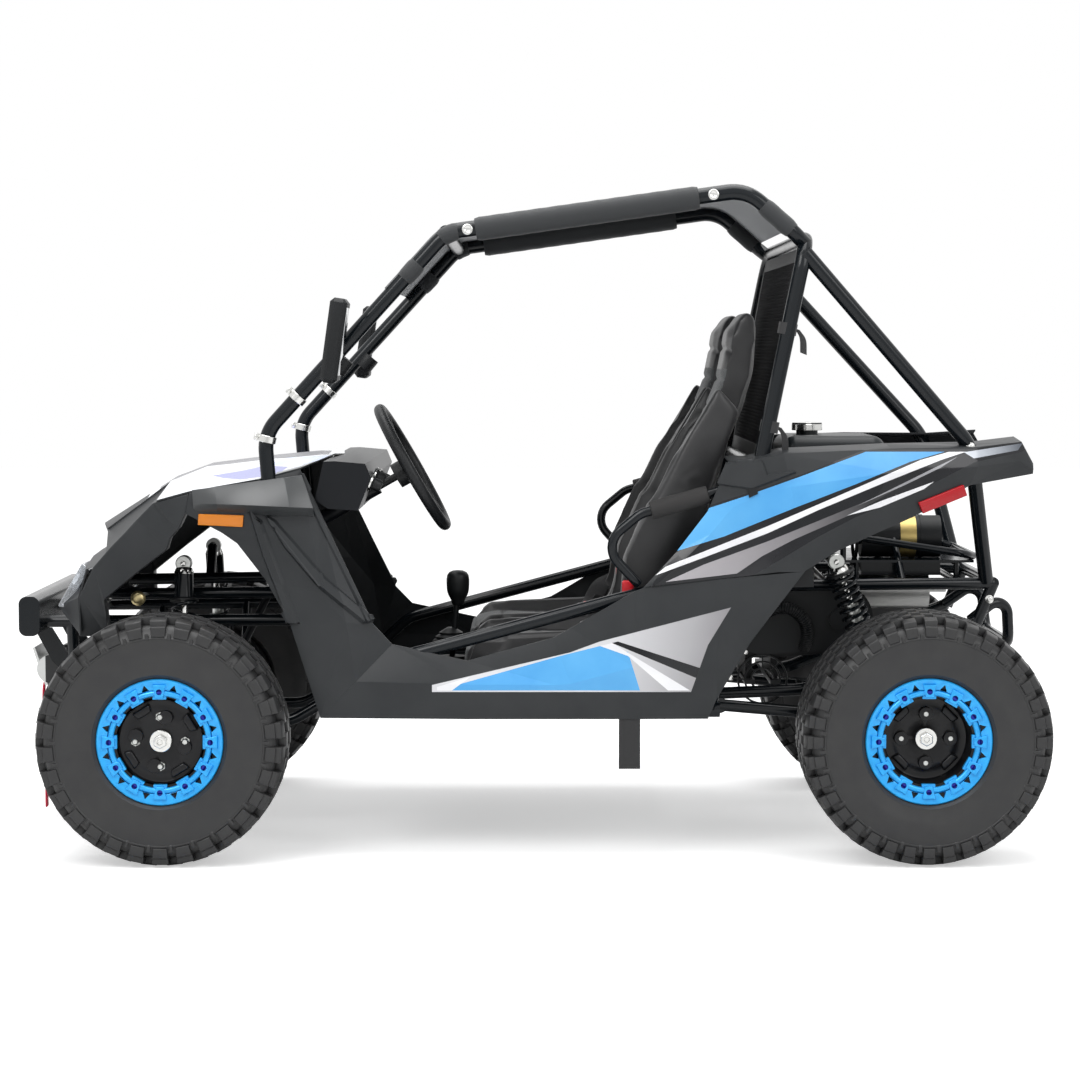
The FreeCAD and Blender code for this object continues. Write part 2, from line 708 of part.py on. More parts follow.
def block_ring(outline, start):
    # Tread blocks: an outline across the tyre, pushed to the block's length and set round the tyre.
    length = size("block_length")
    count = int(size("tread_pitches"))
    corners = [Vector(-length / 2, across, reach) for across, reach in outline]
    first = Part.Face(Part.makePolygon(corners + corners[:1])).extrude(Vector(length, 0, 0))
    blocks = []
    for index in range(count):
        block_copy = first.copy()
        block_copy.rotate(Vector(), Vector(0, 1, 0), 360 * (index + start) / count)
        blocks.append(block_copy)
    return blocks


def tyre_shape(half_width, rim_half):
    top = size("tyre_radius")
    base = top - size("lug_height")
    seat = size("rim_radius")
    seat_gap = seat + size("fit_gap")
    shoulder = half_width - size("shoulder_inset")
    carcass = [(-rim_half + 9, seat_gap), (-half_width, seat + 70), (-shoulder, base), (shoulder, base),
               (half_width, seat + 70), (rim_half - 12, seat + 8), (rim_half - 12, seat_gap)]
    edge = half_width - 12
    blocks = []
    for side in (-1, 1):
        outline = [(side * (shoulder - 20), base - 3), (side * (shoulder - 20), top),
                   (side * (edge - 2), top),
                   (side * edge, base - 32)]
        blocks += block_ring(outline, 0)
    crown = top - size("crown_drop")
    blocks += block_ring([(-15, base - 3), (-15, crown), (15, crown), (15, base - 3)], 0.5)
    return fused([faceted_ring(carcass, int(size("tread_pitches")))] + blocks)


def wheel_placement(centre, side):
    turn = Rotation(Vector(0, 0, 1), 0 if side > 0 else 180)
    return Placement(Vector(centre.x, side * centre.y, centre.z), turn)


def place_wheel(body, label, centre, side):
    body.Label = label
    body.Placement = wheel_placement(centre, side)
    pieces.append(body)


front_centre = front(0, size("track_half") - front_half, 0)
rear_centre = rear(0, size("track_half") - rear_half, 0)
front_dish = front_centre.y + size("rim_half_front") + 6 - size("front_dish_depth")
rear_dish = rear_centre.y + size("rim_half_rear") + 6 - size("rear_dish_depth")
hub_face = front_dish - size("rim_wall")
axle_face = rear_dish - size("rim_wall")
knuckle_shape = knuckle()
feature("knuckle_left", knuckle_shape)
feature("knuckle_right", other_side(knuckle_shape))


def stud(centre_x, start_y, face_y, angle):
    reach = size("lug_circle") / 2
    across = Vector(centre_x + reach * math.sin(angle), 0, axle_z + reach * math.cos(angle))
    shank = rod(across.add(Vector(0, start_y, 0)), across.add(Vector(0, face_y + 4, 0)), 5)
    nut = hex_bar(across.add(Vector(0, face_y, 0)), 13, 10.5)
    crown = Part.makeCone(8.5, 5, 8, across.add(Vector(0, face_y + 13, 0)), Vector(0, 1, 0))
    return fused([shank, nut, crown])


def studs(centre_x, start_y, face_y):
    turns = [index * 2 * math.pi / size("lug_count") for index in range(int(size("lug_count")))]
    return [stud(centre_x, start_y, face_y, angle) for angle in turns]


def front_hub():
    disc_y = kingpin_y + 23
    barrel = rod(front(0, disc_y - 3, 0), front(0, hub_face, 0), 27)
    disc = rod(front(0, disc_y, 0), front(0, disc_y + 5, 0), size("wheel_disc_radius"))
    flange = rod(front(0, hub_face - 8, 0), front(0, hub_face, 0), 68)
    nose = rod(front(0, hub_face, 0), front(0, front_dish, 0), 18)
    cap = rod(front(0, front_dish, 0), front(0, front_dish + 7, 0), 24)
    bore = rod(front(0, kingpin_y, 0), front(0, hub_face - 4, 0),
               size("spindle_radius") + size("running_gap"))
    return fused([barrel, disc, flange, nose, cap] + studs(front(0, 0, 0).x, hub_face, front_dish)).cut(bore)


front_hub_shape = front_hub()
feature("front_hub_left", front_hub_shape)
feature("front_hub_right", other_side(front_hub_shape))
front_tyre = tyre_shape(front_half, size("rim_half_front"))
rear_tyre = tyre_shape(rear_half, size("rim_half_rear"))
for side, name in ((1, "left"), (-1, "right")):
    rim = rim_body("front_rim_" + name, size("rim_half_front"), size("front_dish_depth"))
    place_wheel(rim, "front_rim_" + name, front_centre, side)
    feature("front_tyre_" + name, front_tyre, wheel_placement(front_centre, side))
    rim = rim_body("rear_rim_" + name, size("rim_half_rear"), size("rear_dish_depth"))
    place_wheel(rim, "rear_rim_" + name, rear_centre, side)
    feature("rear_tyre_" + name, rear_tyre, wheel_placement(rear_centre, side))

# Rear axle with its flanges, sprocket and brake disc
axle_radius = size("axle_radius")
axle_parts = [rod(rear(0, -axle_face, 0), rear(0, axle_face, 0), axle_radius)]
for side in (-1, 1):
    axle_parts.append(rod(rear(0, side * (axle_face - 60), 0), rear(0, side * axle_face, 0), 25))
    axle_parts.append(rod(rear(0, side * (axle_face - 9), 0), rear(0, side * axle_face, 0), 68))
    axle_parts.append(rod(rear(0, side * axle_face, 0), rear(0, side * (rear_dish + 4), 0), 18))
    axle_parts.append(rod(rear(0, side * rear_dish, 0), rear(0, side * (rear_dish + 22), 0), 17))
    wheel_studs = studs(rear_axle_x, axle_face, rear_dish)
    axle_parts.extend(item if side > 0 else other_side(item) for item in wheel_studs)
for across, radius in ((size("sprocket_y"), size("sprocket_radius")),
                       (size("rear_disc_y"), size("rear_disc_radius"))):
    axle_parts.append(rod(rear(0, across - 3, 0), rear(0, across + 3, 0), radius))
    axle_parts.append(rod(rear(0, across - 14, 0), rear(0, across + 14, 0), 34))
feature("rear_axle", fused(axle_parts))

# Swing arm with its bearing carriers
arm_pivot = cabin(hoop_foot.x - 37, carrier_y, -17)
rear_shock_low = rear(54, carrier_y + 5, 46)
swing_parts = [rod(Vector(rear_axle_x + 200, -carrier_y, axle_z + 16),
                   Vector(rear_axle_x + 200, carrier_y, axle_z + 16), frame_tube)]
for side in (-1, 1):
    pivot = Vector(arm_pivot.x, side * carrier_y, arm_pivot.z)
    carrier = rear(0, side * carrier_y, 0)
    swing_parts.append(rod(pivot, carrier, frame_tube))
    swing_parts.append(rod(pivot.sub(Vector(0, 11, 0)), pivot.add(Vector(0, 11, 0)), frame_tube + 4))
    swing_parts.append(rod(carrier.sub(Vector(0, 22, 0)), carrier.add(Vector(0, 22, 0)),
                           size("carrier_radius")))
    mount = Vector(rear_shock_low.x, side * rear_shock_low.y, rear_shock_low.z)
    for ear in (-17, 17):
        swing_parts.append(block((mount.x - 12, mount.y + ear - 3, mount.z - 40),
                                 (mount.x + 12, mount.y + ear + 3, mount.z + 12)))
    swing_parts.append(rod(mount.sub(Vector(0, 20, 0)), mount.add(Vector(0, 20, 0)), 6))
axle_bore = rod(rear(0, -carrier_y - 40, 0), rear(0, carrier_y + 40, 0), axle_radius + size("running_gap"))
swing_shape = fused(swing_parts).cut(axle_bore)
feature("swing_arm", swing_shape)


# Rear shocks lean from the shock bar down to the swing arm
def rear_shock(side):
    head = Vector(shock_bar_x, side * 330, shock_bar_z)
    foot = Vector(rear_shock_low.x, side * rear_shock_low.y, rear_shock_low.z)
    along = foot.sub(head)
    span = along.Length
    along.normalize()

    def at(distance):
        return head.add(Vector(along).multiply(distance))

    parts = [rod(at(0), at(span * 0.55), 19), rod(at(span * 0.5), at(span - 10), 11)]
    parts.append(spring(at(span * 0.2), along, span * 0.6, 28, 19.6))
    parts.append(rod(foot.sub(Vector(0, 13, 0)), foot.add(Vector(0, 13, 0)), 14))
    return coped(fused(parts), rear_shape, swing_shape)


feature("rear_shocks", Part.makeCompound([rear_shock(1), rear_shock(-1)]))

# Body panels. The chains of points run from the front of the car to the back.
thin = size("panel_thickness")
tail_half = size("tail_half")

hood_rear = [cabin(433, 0, 559), cabin(445, 170, 565), cabin(500, panel_half, 544)]
hood_waist = [front(-207, 0, 612), front(-207, 160, 606), front(-207, panel_half, 575)]
hood_mid = [front(-49, 0, 592), front(-49, 155, 588), front(-49, panel_half, 547)]
hood_brow = [front(38, 0, 560), front(38, 140, 553), front(26, panel_half - 15, 526)]
hood_tip = [front(216, 0, 446), front(192, 110, 440)]


def across_car(chain):
    return [flipped(point) for point in reversed(chain[1:])] + chain


hood_strips = [(across_car(hood_rear), across_car(hood_waist)),
               (across_car(hood_waist), across_car(hood_mid)),
               (across_car(hood_mid), across_car(hood_brow)),
               (across_car(hood_brow[:2]), across_car(hood_tip))]
hood_shape = coped(panel(hood_strips, Vector(0, 0, -thin)), cage_shape)
feature("hood", hood_shape)

brow_edge = hood_brow[2].sub(hood_brow[1])
nose_corner = hood_brow[1].add(brow_edge.multiply(0.92))
brow_line = [hood_tip[0], hood_tip[1], hood_brow[1], nose_corner]
under = Vector(0, 0, -thin)
nose_top = [point.add(under) for point in brow_line]
nose_neck = [front(186, 0, 402), front(180, 110, 396), front(176, 250, 386), front(172, 420, 372)]
nose_brow = [front(205, 0, 392), front(205, 110, 390), front(205, 250, 384), front(195, 425, 366)]
nose_lip = [front(268, 0, 284), front(270, 110, 280), front(272, 350, 275), front(214, 425, 300)]
nose_base = [front(232, 0, 226), front(232, 110, 226), front(232, 350, 226), front(210, 425, 216)]
nose_strips = [(across_car(a), across_car(b)) for a, b in ((nose_top, nose_neck), (nose_neck, nose_brow),
                                                         (nose_brow, nose_lip), (nose_lip, nose_base))]
nose_shape = panel(nose_strips, Vector(-thin, 0, 0))
nose_shape = coped(nose_shape, hood_shape, front_shape, cage_shape)


def lamp(side):
    outline = [(front(212, 0, 0).x, axle_z + 376), (front(270, 0, 0).x, axle_z + 276),
               (front(246, 0, 0).x, axle_z + 272), (front(196, 0, 0).x, axle_z + 360)]
    inner = side * 190
    outer = side * 372
    return slab(outline, min(inner, outer), max(inner, outer))


lamp_shape = Part.makeCompound([lamp(1), lamp(-1)])
nose_shape = coped(nose_shape, lamp_shape)
feature("headlights", lamp_shape)

# Front fender: an arch over the wheel that ends in a leg in front of it
leg_y = 408
seam_drop = Vector(0, 0, -thin - size("fit_gap"))
fender_drop = Vector(0, 0, -1.6 * thin - size("fit_gap"))
fender_outer = [hood_mid[2].add(fender_drop), hood_brow[2].add(fender_drop), front(34, 462, 517),
                front(72, 455, 479), front(102, 450, 447), front(132, 445, 417), front(174, 440, 370),
                front(209, 428, 302), front(213, leg_y, 210)]
fender_inner = [front(-41, panel_half, 496), front(-26, panel_half, 464), front(-21, panel_half, 459),
                front(-4, 478, 439), front(5, 470, 413), front(73, 455, 361), front(152, 440, 297),
                front(148, 428, 249), front(150, leg_y, 210)]
arch_back = [point.add(Vector(0, -50, 0)) for point in fender_inner]
fender_shape = panel([(fender_outer, fender_inner), (fender_inner, arch_back)],
                     Vector(0.6 * thin, -thin, 0.6 * thin))

nose_shape = coped(nose_shape, fender_shape, other_side(fender_shape))
feature("nose_panel", nose_shape)

# Side panel: a folded sheet with one long ridge from the hood down to the sill
side_top = [hood_mid[2].add(seam_drop), hood_waist[2].add(seam_drop), hood_rear[2].add(seam_drop),
            cabin(460, panel_half + 5, 455), cabin(335, sill_half - 37, 192), cabin(293, sill_half - 30, 148)]
side_ridge = [front(-45, panel_half, 522), front(-173, panel_half + 20, 510), cabin(560, sill_half - 35, 405),
              cabin(450, sill_half - 22, 265), cabin(395, sill_half - 14, 198), cabin(373, sill_half - 8, 66)]
side_arch = [front(-41, panel_half, 496), front(-26, panel_half, 464), front(-122, panel_half, 453),
             front(-157, panel_half + 3, 429), front(-222, sill_half - 45, 347),
             front(-276, sill_half - 30, 253)]
side_foot = [cabin(453, sill_half - 5, -16)]
side_shape = panel([(side_top, side_ridge), (side_ridge[:5], side_arch[:1] + side_arch[2:]),
                    (side_ridge[4:], side_arch[5:] + side_foot)], Vector(0, -thin, 0))
side_shape = coped(side_shape, cage_shape, front_shape, floor_shape)

# Sill panel: from the side panel's seam back below the seats to the rear wheel
sill_top = [cabin(293, sill_half - 30, 148), cabin(124, sill_half - 25, 111), cabin(-70, sill_half - 17, 164),
            cabin(-109, sill_half - 15, 186), cabin(-250, sill_half, 269), cabin(-271, sill_half + 3, 278),
            cabin(-450, sill_half + 9, 299), rear(269, sill_half + 15, 371)]
sill_mid = [cabin(373, sill_half - 8, 66), cabin(124, sill_half, 60), cabin(-70, sill_half + 4, 60),
            cabin(-109, sill_half + 4, 62), cabin(-250, sill_half + 6, 100), cabin(-271, sill_half + 6, 110),
            cabin(-440, sill_half + 9, 160), rear(389, sill_half + 5, 211)]
sill_low = [cabin(453, sill_half - 5, -16), cabin(124, sill_half, -18), cabin(-70, sill_half, -18),
            cabin(-109, sill_half, -18), cabin(-250, sill_half, -18), cabin(-271, sill_half, -18),
            cabin(-417, sill_half - 5, -18), rear(464, sill_half, 82)]
sill_shape = panel([(sill_top, sill_mid), (sill_mid, sill_low)], Vector(0, -thin, 0))
flap = block((-265, sill_half - thin - 4, 204), (-217, sill_half - thin + 1, sill_z + 10))
sill_shape = fused([sill_shape, flap])
sill_shape = coped(sill_shape, cage_shape, floor_shape, side_shape)

# Rear fender: rises beside the seat back, then runs back and inwards to a narrow tail
rear_top = [cabin(-271, sill_half + 3, 278), cabin(-344, fender_half - 12, 358),
            cabin(-414, fender_half - 8, 450),
            cabin(-461, fender_half - 6, 561), cabin(-504, fender_half - 6, 561),
            rear(318, fender_half - 10, 634),
            rear(70, fender_half - 62, 643), rear(-134, 425, 644), rear(-247, tail_half + 5, 654),
            rear(-275, tail_half, 604)]
rear_crease = [cabin(-300, fender_half - 8, 285), cabin(-360, fender_half, 340),
               cabin(-420, fender_half, 400),
               cabin(-470, fender_half + 2, 460), cabin(-520, fender_half + 2, 480),
               rear(300, fender_half, 560),
               rear(70, fender_half - 45, 590), rear(-134, 440, 600), rear(-240, tail_half + 18, 610),
               rear(-275, tail_half + 5, 590)]
rear_low = [cabin(-290, fender_half - 10, 281), cabin(-400, sill_half + 9, 294),
            cabin(-450, sill_half + 10, 300),
            cabin(-500, sill_half + 12, 305), cabin(-572, sill_half + 14, 314),
            rear(272, sill_half + 15, 370),
            rear(192, fender_half - 20, 417), rear(14, fender_half - 75, 491), rear(-117, 440, 558),
            rear(-275, tail_half, 580)]
rear_shelf = [point.add(Vector(6, -75, 10)) for point in rear_top[3:9]]
rear_shape_panel = panel([(rear_top, rear_crease), (rear_crease, rear_low)], Vector(0, -thin, 0))
shelf = panel([(rear_top[3:9], rear_shelf)], Vector(0, 0, -thin))
rear_shape_panel = fused([rear_shape_panel, shelf])
rear_shape_panel = coped(rear_shape_panel, cage_shape, floor_shape, rear_shape, sill_shape)
for name, shape in (("front_fender", fender_shape), ("side_panel", side_shape), ("sill_panel", sill_shape),
                    ("rear_fender", rear_shape_panel)):
    feature(name + "_left", shape)
    feature(name + "_right", other_side(shape))

# Dash: a hollow hood-like moulding between the pillars
dash_outline = [(342, sill_z + 520), (355, sill_z + 552), (425, sill_z + 558), (450, sill_z + 557),
                (470, sill_z + 470), (440, sill_z + 450), (372, sill_z + 446)]
dash_core = [(348, sill_z + 519), (359, sill_z + 546), (423, sill_z + 550), (435, sill_z + 541),
             (463, sill_z + 471), (438, sill_z + 456), (376, sill_z + 452)]
dash_shape = slab(dash_outline, -460, 460).cut(slab(dash_core, -456, 456))
column_hole = rod(on_column(60), on_column(260), size("column_radius") + 8)
dash_shape = coped(dash_shape.cut(column_hole), hood_shape, cage_shape)
feature("dash_panel", dash_shape)

# Steering wheel: rim, three spokes, hub and the shaft that runs in the column
turning = Rotation(Vector(0, 0, 1), column_axis)
wheel_place = Placement(wheel_centre, turning)
rim_ring = Part.makeTorus(size("steering_radius"), size("steering_rim"))
wheel_parts = [rim_ring, Part.makeCylinder(30, 34, Vector(0, 0, -44))]
for index in range(3):
    angle = math.radians(90 + 120 * index)
    outer = Vector(math.cos(angle) * size("steering_radius"), math.sin(angle) * size("steering_radius"), 0)
    wheel_parts.append(rod(Vector(0, 0, -18), outer, 9))
wheel_parts.append(Part.makeCylinder(shaft_radius, 100, Vector(0, 0, -140)))
steering_wheel = fused(wheel_parts)
feature("steering_wheel", steering_wheel, wheel_place)

# Seats: bucket shells with side bolsters, standing on the floor frame
seat_half = size("seat_width") / 2
seat_outline = [(140, 474), (-235, 462), (-296, 680), (-331, 778), (-370, 868), (-410, 955), (-455, 1066),
                (-470, 1140), (-480, 1230), (-510, 1253), (-545, 1236), (-535, 1099), (-508, 1009),
                (-458, 901), (-380, 640), (-330, 420), (-290, 368), (120, 368), (150, 400), (152, 450)]
bolster_outline = [(120, 492), (-180, 505), (-215, 560), (-225, 680), (-275, 790), (-360, 960), (-440, 1080),
                   (-508, 1009), (-458, 901), (-380, 640), (-330, 420), (-290, 368), (120, 368), (148, 400)]


def seat(side):
    centre = side * seat_y
    middle = slab(seat_outline[:6] + [(-508, 1009)] + seat_outline[13:], centre - seat_half + 50,
                  centre + seat_half - 50)
    head = slab(seat_outline[4:14], centre - 125, centre + 125)
    wings = [slab(bolster_outline, centre - seat_half, centre - seat_half + 55),
             slab(bolster_outline, centre + seat_half - 55, centre + seat_half)]
    rails = [block((-220, centre - 150, floor_top), (100, centre - 120, 368)),
             block((-220, centre + 120, floor_top), (100, centre + 150, 368))]
    shape = fused([middle, head] + wings + rails)
    return coped(shape, cage_shape, floor_shape, rear_shape)


feature("seat_left", seat(1))
feature("seat_right", seat(-1))

# Foam sleeves on the armrest loops
pad_start = Vector(-415, loop_y, 820.6)
pad_end = Vector(-290, loop_y, 785.1)
sleeve = rod(pad_start, pad_end, loop_tube + 10)
sleeve = coped(sleeve, cage_shape)
feature("armrest_pads", both_sides(sleeve))

# Roof cover and the mesh panel behind the seats
roof_line = [(288, 1269), (170, 1405), (-500, 1499), (-604, 1408)]
cover_gap = cage_tube + size("fit_gap")


def over_rails(gap):
    # The roof line moved outwards by a gap, with each bend of the rail followed by two small turns.
    places = []
    for index, (x, z) in enumerate(roof_line):
        ways = []
        for (x0, z0), (x1, z1) in zip(roof_line, roof_line[1:]):
            length = math.hypot(x1 - x0, z1 - z0)
            ways.append(((x1 - x0) / length, (z1 - z0) / length))
        before = ways[max(index - 1, 0)]
        after = ways[min(index, len(ways) - 1)]
        turn = math.acos(min(1, before[0] * after[0] + before[1] * after[1]))
        normal = (before[1] + after[1], -before[0] - after[0])
        scale = gap / math.cos(turn / 2) / math.hypot(*normal)
        corner = (x + normal[0] * scale, z + normal[1] * scale)
        trim = (size("rail_bend") + gap) * (math.tan(turn / 2) - math.tan(turn / 4))
        places.append((corner[0] - before[0] * trim, corner[1] - before[1] * trim))
        if trim > 1:
            places.append((corner[0] + after[0] * trim, corner[1] + after[1] * trim))
    return places


cover_top = over_rails(cover_gap + 3)
cover_bottom = over_rails(cover_gap)
cover_half = cage_half - 2
roof_parts = [slab(cover_top + cover_bottom[::-1], -cover_half, cover_half)]


def on_roof(index, share):
    # A place on the left roof rail, between two corners of the roof line.
    (x0, z0), (x1, z1) = roof_line[index], roof_line[index + 1]
    return Vector(x0 + share * (x1 - x0), cage_half, z0 + share * (z1 - z0))


# Sleeves laced round the rails: short ones at the front, a long padded one, and one at the back
for index, first, last, radius in ((0, 0.02, 0.24, 24), (0, 0.62, 0.8, 24), (1, 0.1, 0.85, 25),
                                   (2, 0.35, 0.85, 24)):
    sleeve_shape = rod(on_roof(index, first), on_roof(index, last), radius)
    roof_parts += [sleeve_shape, other_side(sleeve_shape)]
roof_cover = coped(fused(roof_parts), cage_shape)
feature("roof_cover", roof_cover)
mesh_low = on_hoop(880 + cage_tube - 2)
mesh_high = on_hoop(hoop_top.z - cage_tube + 2)
mesh_half = cage_half - cage_tube + 2
mesh_panel = slab([(mesh_high.x - 1.5, mesh_high.z), (mesh_low.x - 1.5, mesh_low.z),
                   (mesh_low.x + 1.5, mesh_low.z),
                   (mesh_high.x + 1.5, mesh_high.z)], -mesh_half, mesh_half)
for tube_shape in (hoop, waist_tube, left_rail, other_side(left_rail), brace, other_side(brace)):
    mesh_panel = coped(mesh_panel, tube_shape)
mesh_panel = coped(mesh_panel, rear_shape_panel, other_side(rear_shape_panel))
feature("mesh_panel", mesh_panel)

# Mirrors on stalks clamped to the pillars
mirror_centre = Vector(412, cage_half + 78, 1164)
stalk_foot = on_pillar(1112)
mirror_box = block((mirror_centre.x - 18, mirror_centre.y - 58, mirror_centre.z - 94),
                   (mirror_centre.x + 20, mirror_centre.y + 58, mirror_centre.z + 94))
mirror_box = mirror_box.makeChamfer(9, mirror_box.Edges)
mirror_box.rotate(mirror_centre, Vector(0, 1, 0), -size("mirror_tilt"))
stalk = tube([stalk_foot, stalk_foot.add(Vector(8, 40, 10)), mirror_centre.add(Vector(15, -30, -30))], 7, 20)
clamp = rod(on_pillar(1098), on_pillar(1126), cage_tube + 6)
mirror = coped(fused([mirror_box, stalk, clamp]), cage_shape)
feature("mirrors", both_sides(mirror))

# Front bumper, winch and fairlead
bumper_back = front(319, 0, 0).x
bumper_front = front(367, 0, 0).x
beam = block((bumper_back, -330, sill_z + 147), (bumper_front, 330, sill_z + 239))
beam = beam.makeFillet(18, [edge for edge in beam.Edges if abs(edge.tangentAt(edge.FirstParameter).y) > 0.9])
bumper_parts = [beam]
for side in (-1, 1):
    bumper_parts.append(rod(Vector(nose_end, side * 215, mid_rail_z - 5),
                            Vector(bumper_back + 6, side * 215, mid_rail_z - 5), frame_tube))
    inner = side * 150
    outer = side * 158
    strap = slab([(bumper_back + 2, sill_z + 150), (bumper_front - 4, sill_z + 150),
                  (bumper_back + 2, sill_z + 70),
                  (nose_end + 25, sill_z + 38), (nose_end + 8, low_rail_z + 2),
                  (nose_end - 4, low_rail_z + 2),
                  (nose_end + 4, sill_z + 60)], min(inner, outer), max(inner, outer))
    bumper_parts.append(strap)
bumper_shape = coped(fused(bumper_parts), front_shape)
feature("front_bumper", bumper_shape)
drum_x = front(325, 0, 0).x
drum_z = sill_z + 50
winch_parts = [rod(Vector(drum_x, -142, drum_z), Vector(drum_x, 142, drum_z), 27),
               rod(Vector(drum_x, -150, drum_z), Vector(drum_x, -90, drum_z), 34),
               rod(Vector(drum_x, 90, drum_z), Vector(drum_x, 150, drum_z), 34)]
fairlead_outline = [(front(379.5, 0, 0).x, sill_z + 94), (front(374, 0, 0).x, sill_z + 96),
                    (front(344, 0, 0).x, sill_z + 5), (front(350, 0, 0).x, sill_z + 3)]
fairlead = slab(fairlead_outline, -90, 90)
slot = block((drum_x, -45, drum_z - 8), (drum_x + 90, 45, drum_z + 8))
tie_plates = [block((drum_x, side * 70 - 3, drum_z - 20), (front(356, 0, 0).x, side * 70 + 3, drum_z + 16))
              for side in (-1, 1)]
winch_shape = coped(fused(winch_parts + tie_plates + [fairlead]).cut(slot), bumper_shape, front_shape)
feature("winch", winch_shape)

# Engine: crankcase, side case, finned cylinder and gearbox on two cross plates
crank = Vector(rear_axle_x + 335, 0, sill_z + 165)
drive = Vector(rear_axle_x + 155, 0, sill_z + 176)
case_half = 82


def stadium(first, last, radius, y_low, y_high):
    along = last.sub(first)
    along.normalize()
    normal = Vector(-along.z, 0, along.x).multiply(radius)
    a = first.add(normal)
    b = last.add(normal)
    c = last.sub(normal)
    d = first.sub(normal)
    out = last.add(Vector(along).multiply(radius))
    back = first.sub(Vector(along).multiply(radius))
    wire = Part.Wire([Part.LineSegment(a, b).toShape(), Part.Arc(b, out, c).toShape(),
                      Part.LineSegment(c, d).toShape(), Part.Arc(d, back, a).toShape()])
    wire.translate(Vector(0, y_low, 0))
    return Part.Face(wire).extrude(Vector(0, y_high - y_low, 0))


engine_parts = [stadium(crank, drive, case_half, 118, 205), stadium(crank, drive, case_half - 9, 205, 222)]
engine_parts.append(rod(crank.add(Vector(0, -110, 0)), crank.add(Vector(0, 120, 0)), 92))
engine_parts.append(rod(drive.add(Vector(0, -60, 0)), drive.add(Vector(0, 120, 0)), 66))
engine_parts.append(rod(drive.add(Vector(0, 222, 0)), drive.add(Vector(0, 232, 0)), 24))
engine_parts.append(rod(drive.add(Vector(0, size("sprocket_y") - 14, 0)), drive, 16))
engine_parts.append(rod(drive.add(Vector(0, size("sprocket_y") - 3, 0)),
                        drive.add(Vector(0, size("sprocket_y") + 3, 0)), 33))
head_base = sill_z + 240
for index in range(9):
    level = head_base + index * 14
    engine_parts.append(block((crank.x - 58, -48, level), (crank.x + 58, 78, level + 4)))
engine_parts.append(Part.makeCylinder(38, 160, Vector(crank.x, 15, head_base - 20)))
engine_parts.append(block((crank.x - 50, -45, head_base + 126), (crank.x + 50, 75, head_base + 168)))
for along in (crank.x - 30, crank.x + 30):
    engine_parts.append(block((along - 12, -rear_rail_y, cradle_z + frame_tube - 1),
                              (along + 12, rear_rail_y, cradle_z + frame_tube + 9)))
    engine_parts.append(block((along - 8, -60, cradle_z + frame_tube + 5), (along + 8, 190, crank.z - 60)))
port = Vector(crank.x - 75, 40, head_base + 75)
engine_parts.append(rod(port, port.add(Vector(50, 0, 0)), 16))
engine_shape = coped(fused(engine_parts), rear_shape, cage_shape, floor_shape, swing_shape)
feature("engine", engine_shape)

# Fuel tank on two bearers behind the seats
tank_box = block((tank_rear, -150, tank_base), (tank_front, 150, tank_base + 180))
tank_box = tank_box.makeFillet(32, tank_box.Edges)
neck = Part.makeCylinder(26, 30, Vector(rear(212, 0, 0).x, 0, tank_base + 170))
cap = Part.makeCylinder(36, 18, Vector(rear(212, 0, 0).x, 0, tank_base + 190))
tank_shape = fused([tank_box, neck, cap])
feature("fuel_tank", coped(tank_shape, rear_shape))

# Rear rack, electrics box, air cleaner and exhaust
tray_top = axle_z + 370
tray_front = rear(152, 0, 0).x
tray_rear = rear(-164, 0, 0).x
tray = block((tray_rear, -205, tray_top - 6), (tray_front, 205, tray_top))
for along in (-size("rack_hole_along") / 2, size("rack_hole_along") / 2):
    for across in (-size("rack_hole_across") / 2, size("rack_hole_across") / 2):
        middle = Vector((tray_rear + tray_front) / 2 + along, across, tray_top - 10)
        tray = tray.cut(Part.makeCylinder(size("rack_hole_radius"), 20, middle))
rack_parts = [tray]
rack_loop = tube([Vector(tray_front, 200, tray_top + 60), Vector(tray_rear + 20, 200, tray_top + 14),
                  Vector(tray_rear - 8, 150, tray_top + 6), Vector(tray_rear - 8, -150, tray_top + 6),
                  Vector(tray_rear + 20, -200, tray_top + 14), Vector(tray_front, -200, tray_top + 60)], 9,
                  40)
rack_parts.append(rack_loop)
for side in (-1, 1):
    rack_parts.append(rod(Vector(tray_front - 8, side * 198, tray_top - 5),
                          Vector(tray_front - 8, side * 198, tray_top + 54), 7))
    for along in (tray_front - 40, tray_rear + 40):
        rack_parts.append(rod(Vector(along, side * 190, top_rear_z + 4),
                              Vector(along, side * 190, tray_top - 3), 6))
for along in (tray_front - 40, tray_rear + 40):
    rack_parts.append(rod(Vector(along, -240, top_rear_z + 4), Vector(along, 240, top_rear_z + 4), 8))
box_shape = block((rear(-90, 0, 0).x, -70, top_rear_z + 14), (rear(98, 0, 0).x, 170, tray_top - 5))
rack_shape = coped(fused(rack_parts + [box_shape]), rear_shape, cage_shape)
feature("rear_rack", rack_shape)
can_z = tray_top + 50.3
can_y = 150
can_front = rear(95, 0, 0).x
can_rear = rear(-95, 0, 0).x
can = rod(Vector(can_rear, can_y - 40, can_z), Vector(can_front, can_y - 40, can_z), 50)
intake = tube([Vector(can_front - 10, can_y - 40, can_z), Vector(can_front + 50, can_y - 40, can_z),
               Vector(port.x - 50, port.y, port.z), port], 19, 50)
can_saddle = block((rear(-20, 0, 0).x, can_y - 60, tray_top), (rear(20, 0, 0).x, can_y - 20, can_z - 30))
cleaner_shape = coped(fused([can, intake, can_saddle]), rack_shape, rear_shape, engine_shape, tank_shape)
feature("air_cleaner", cleaner_shape)
muffler_z = axle_z + 268
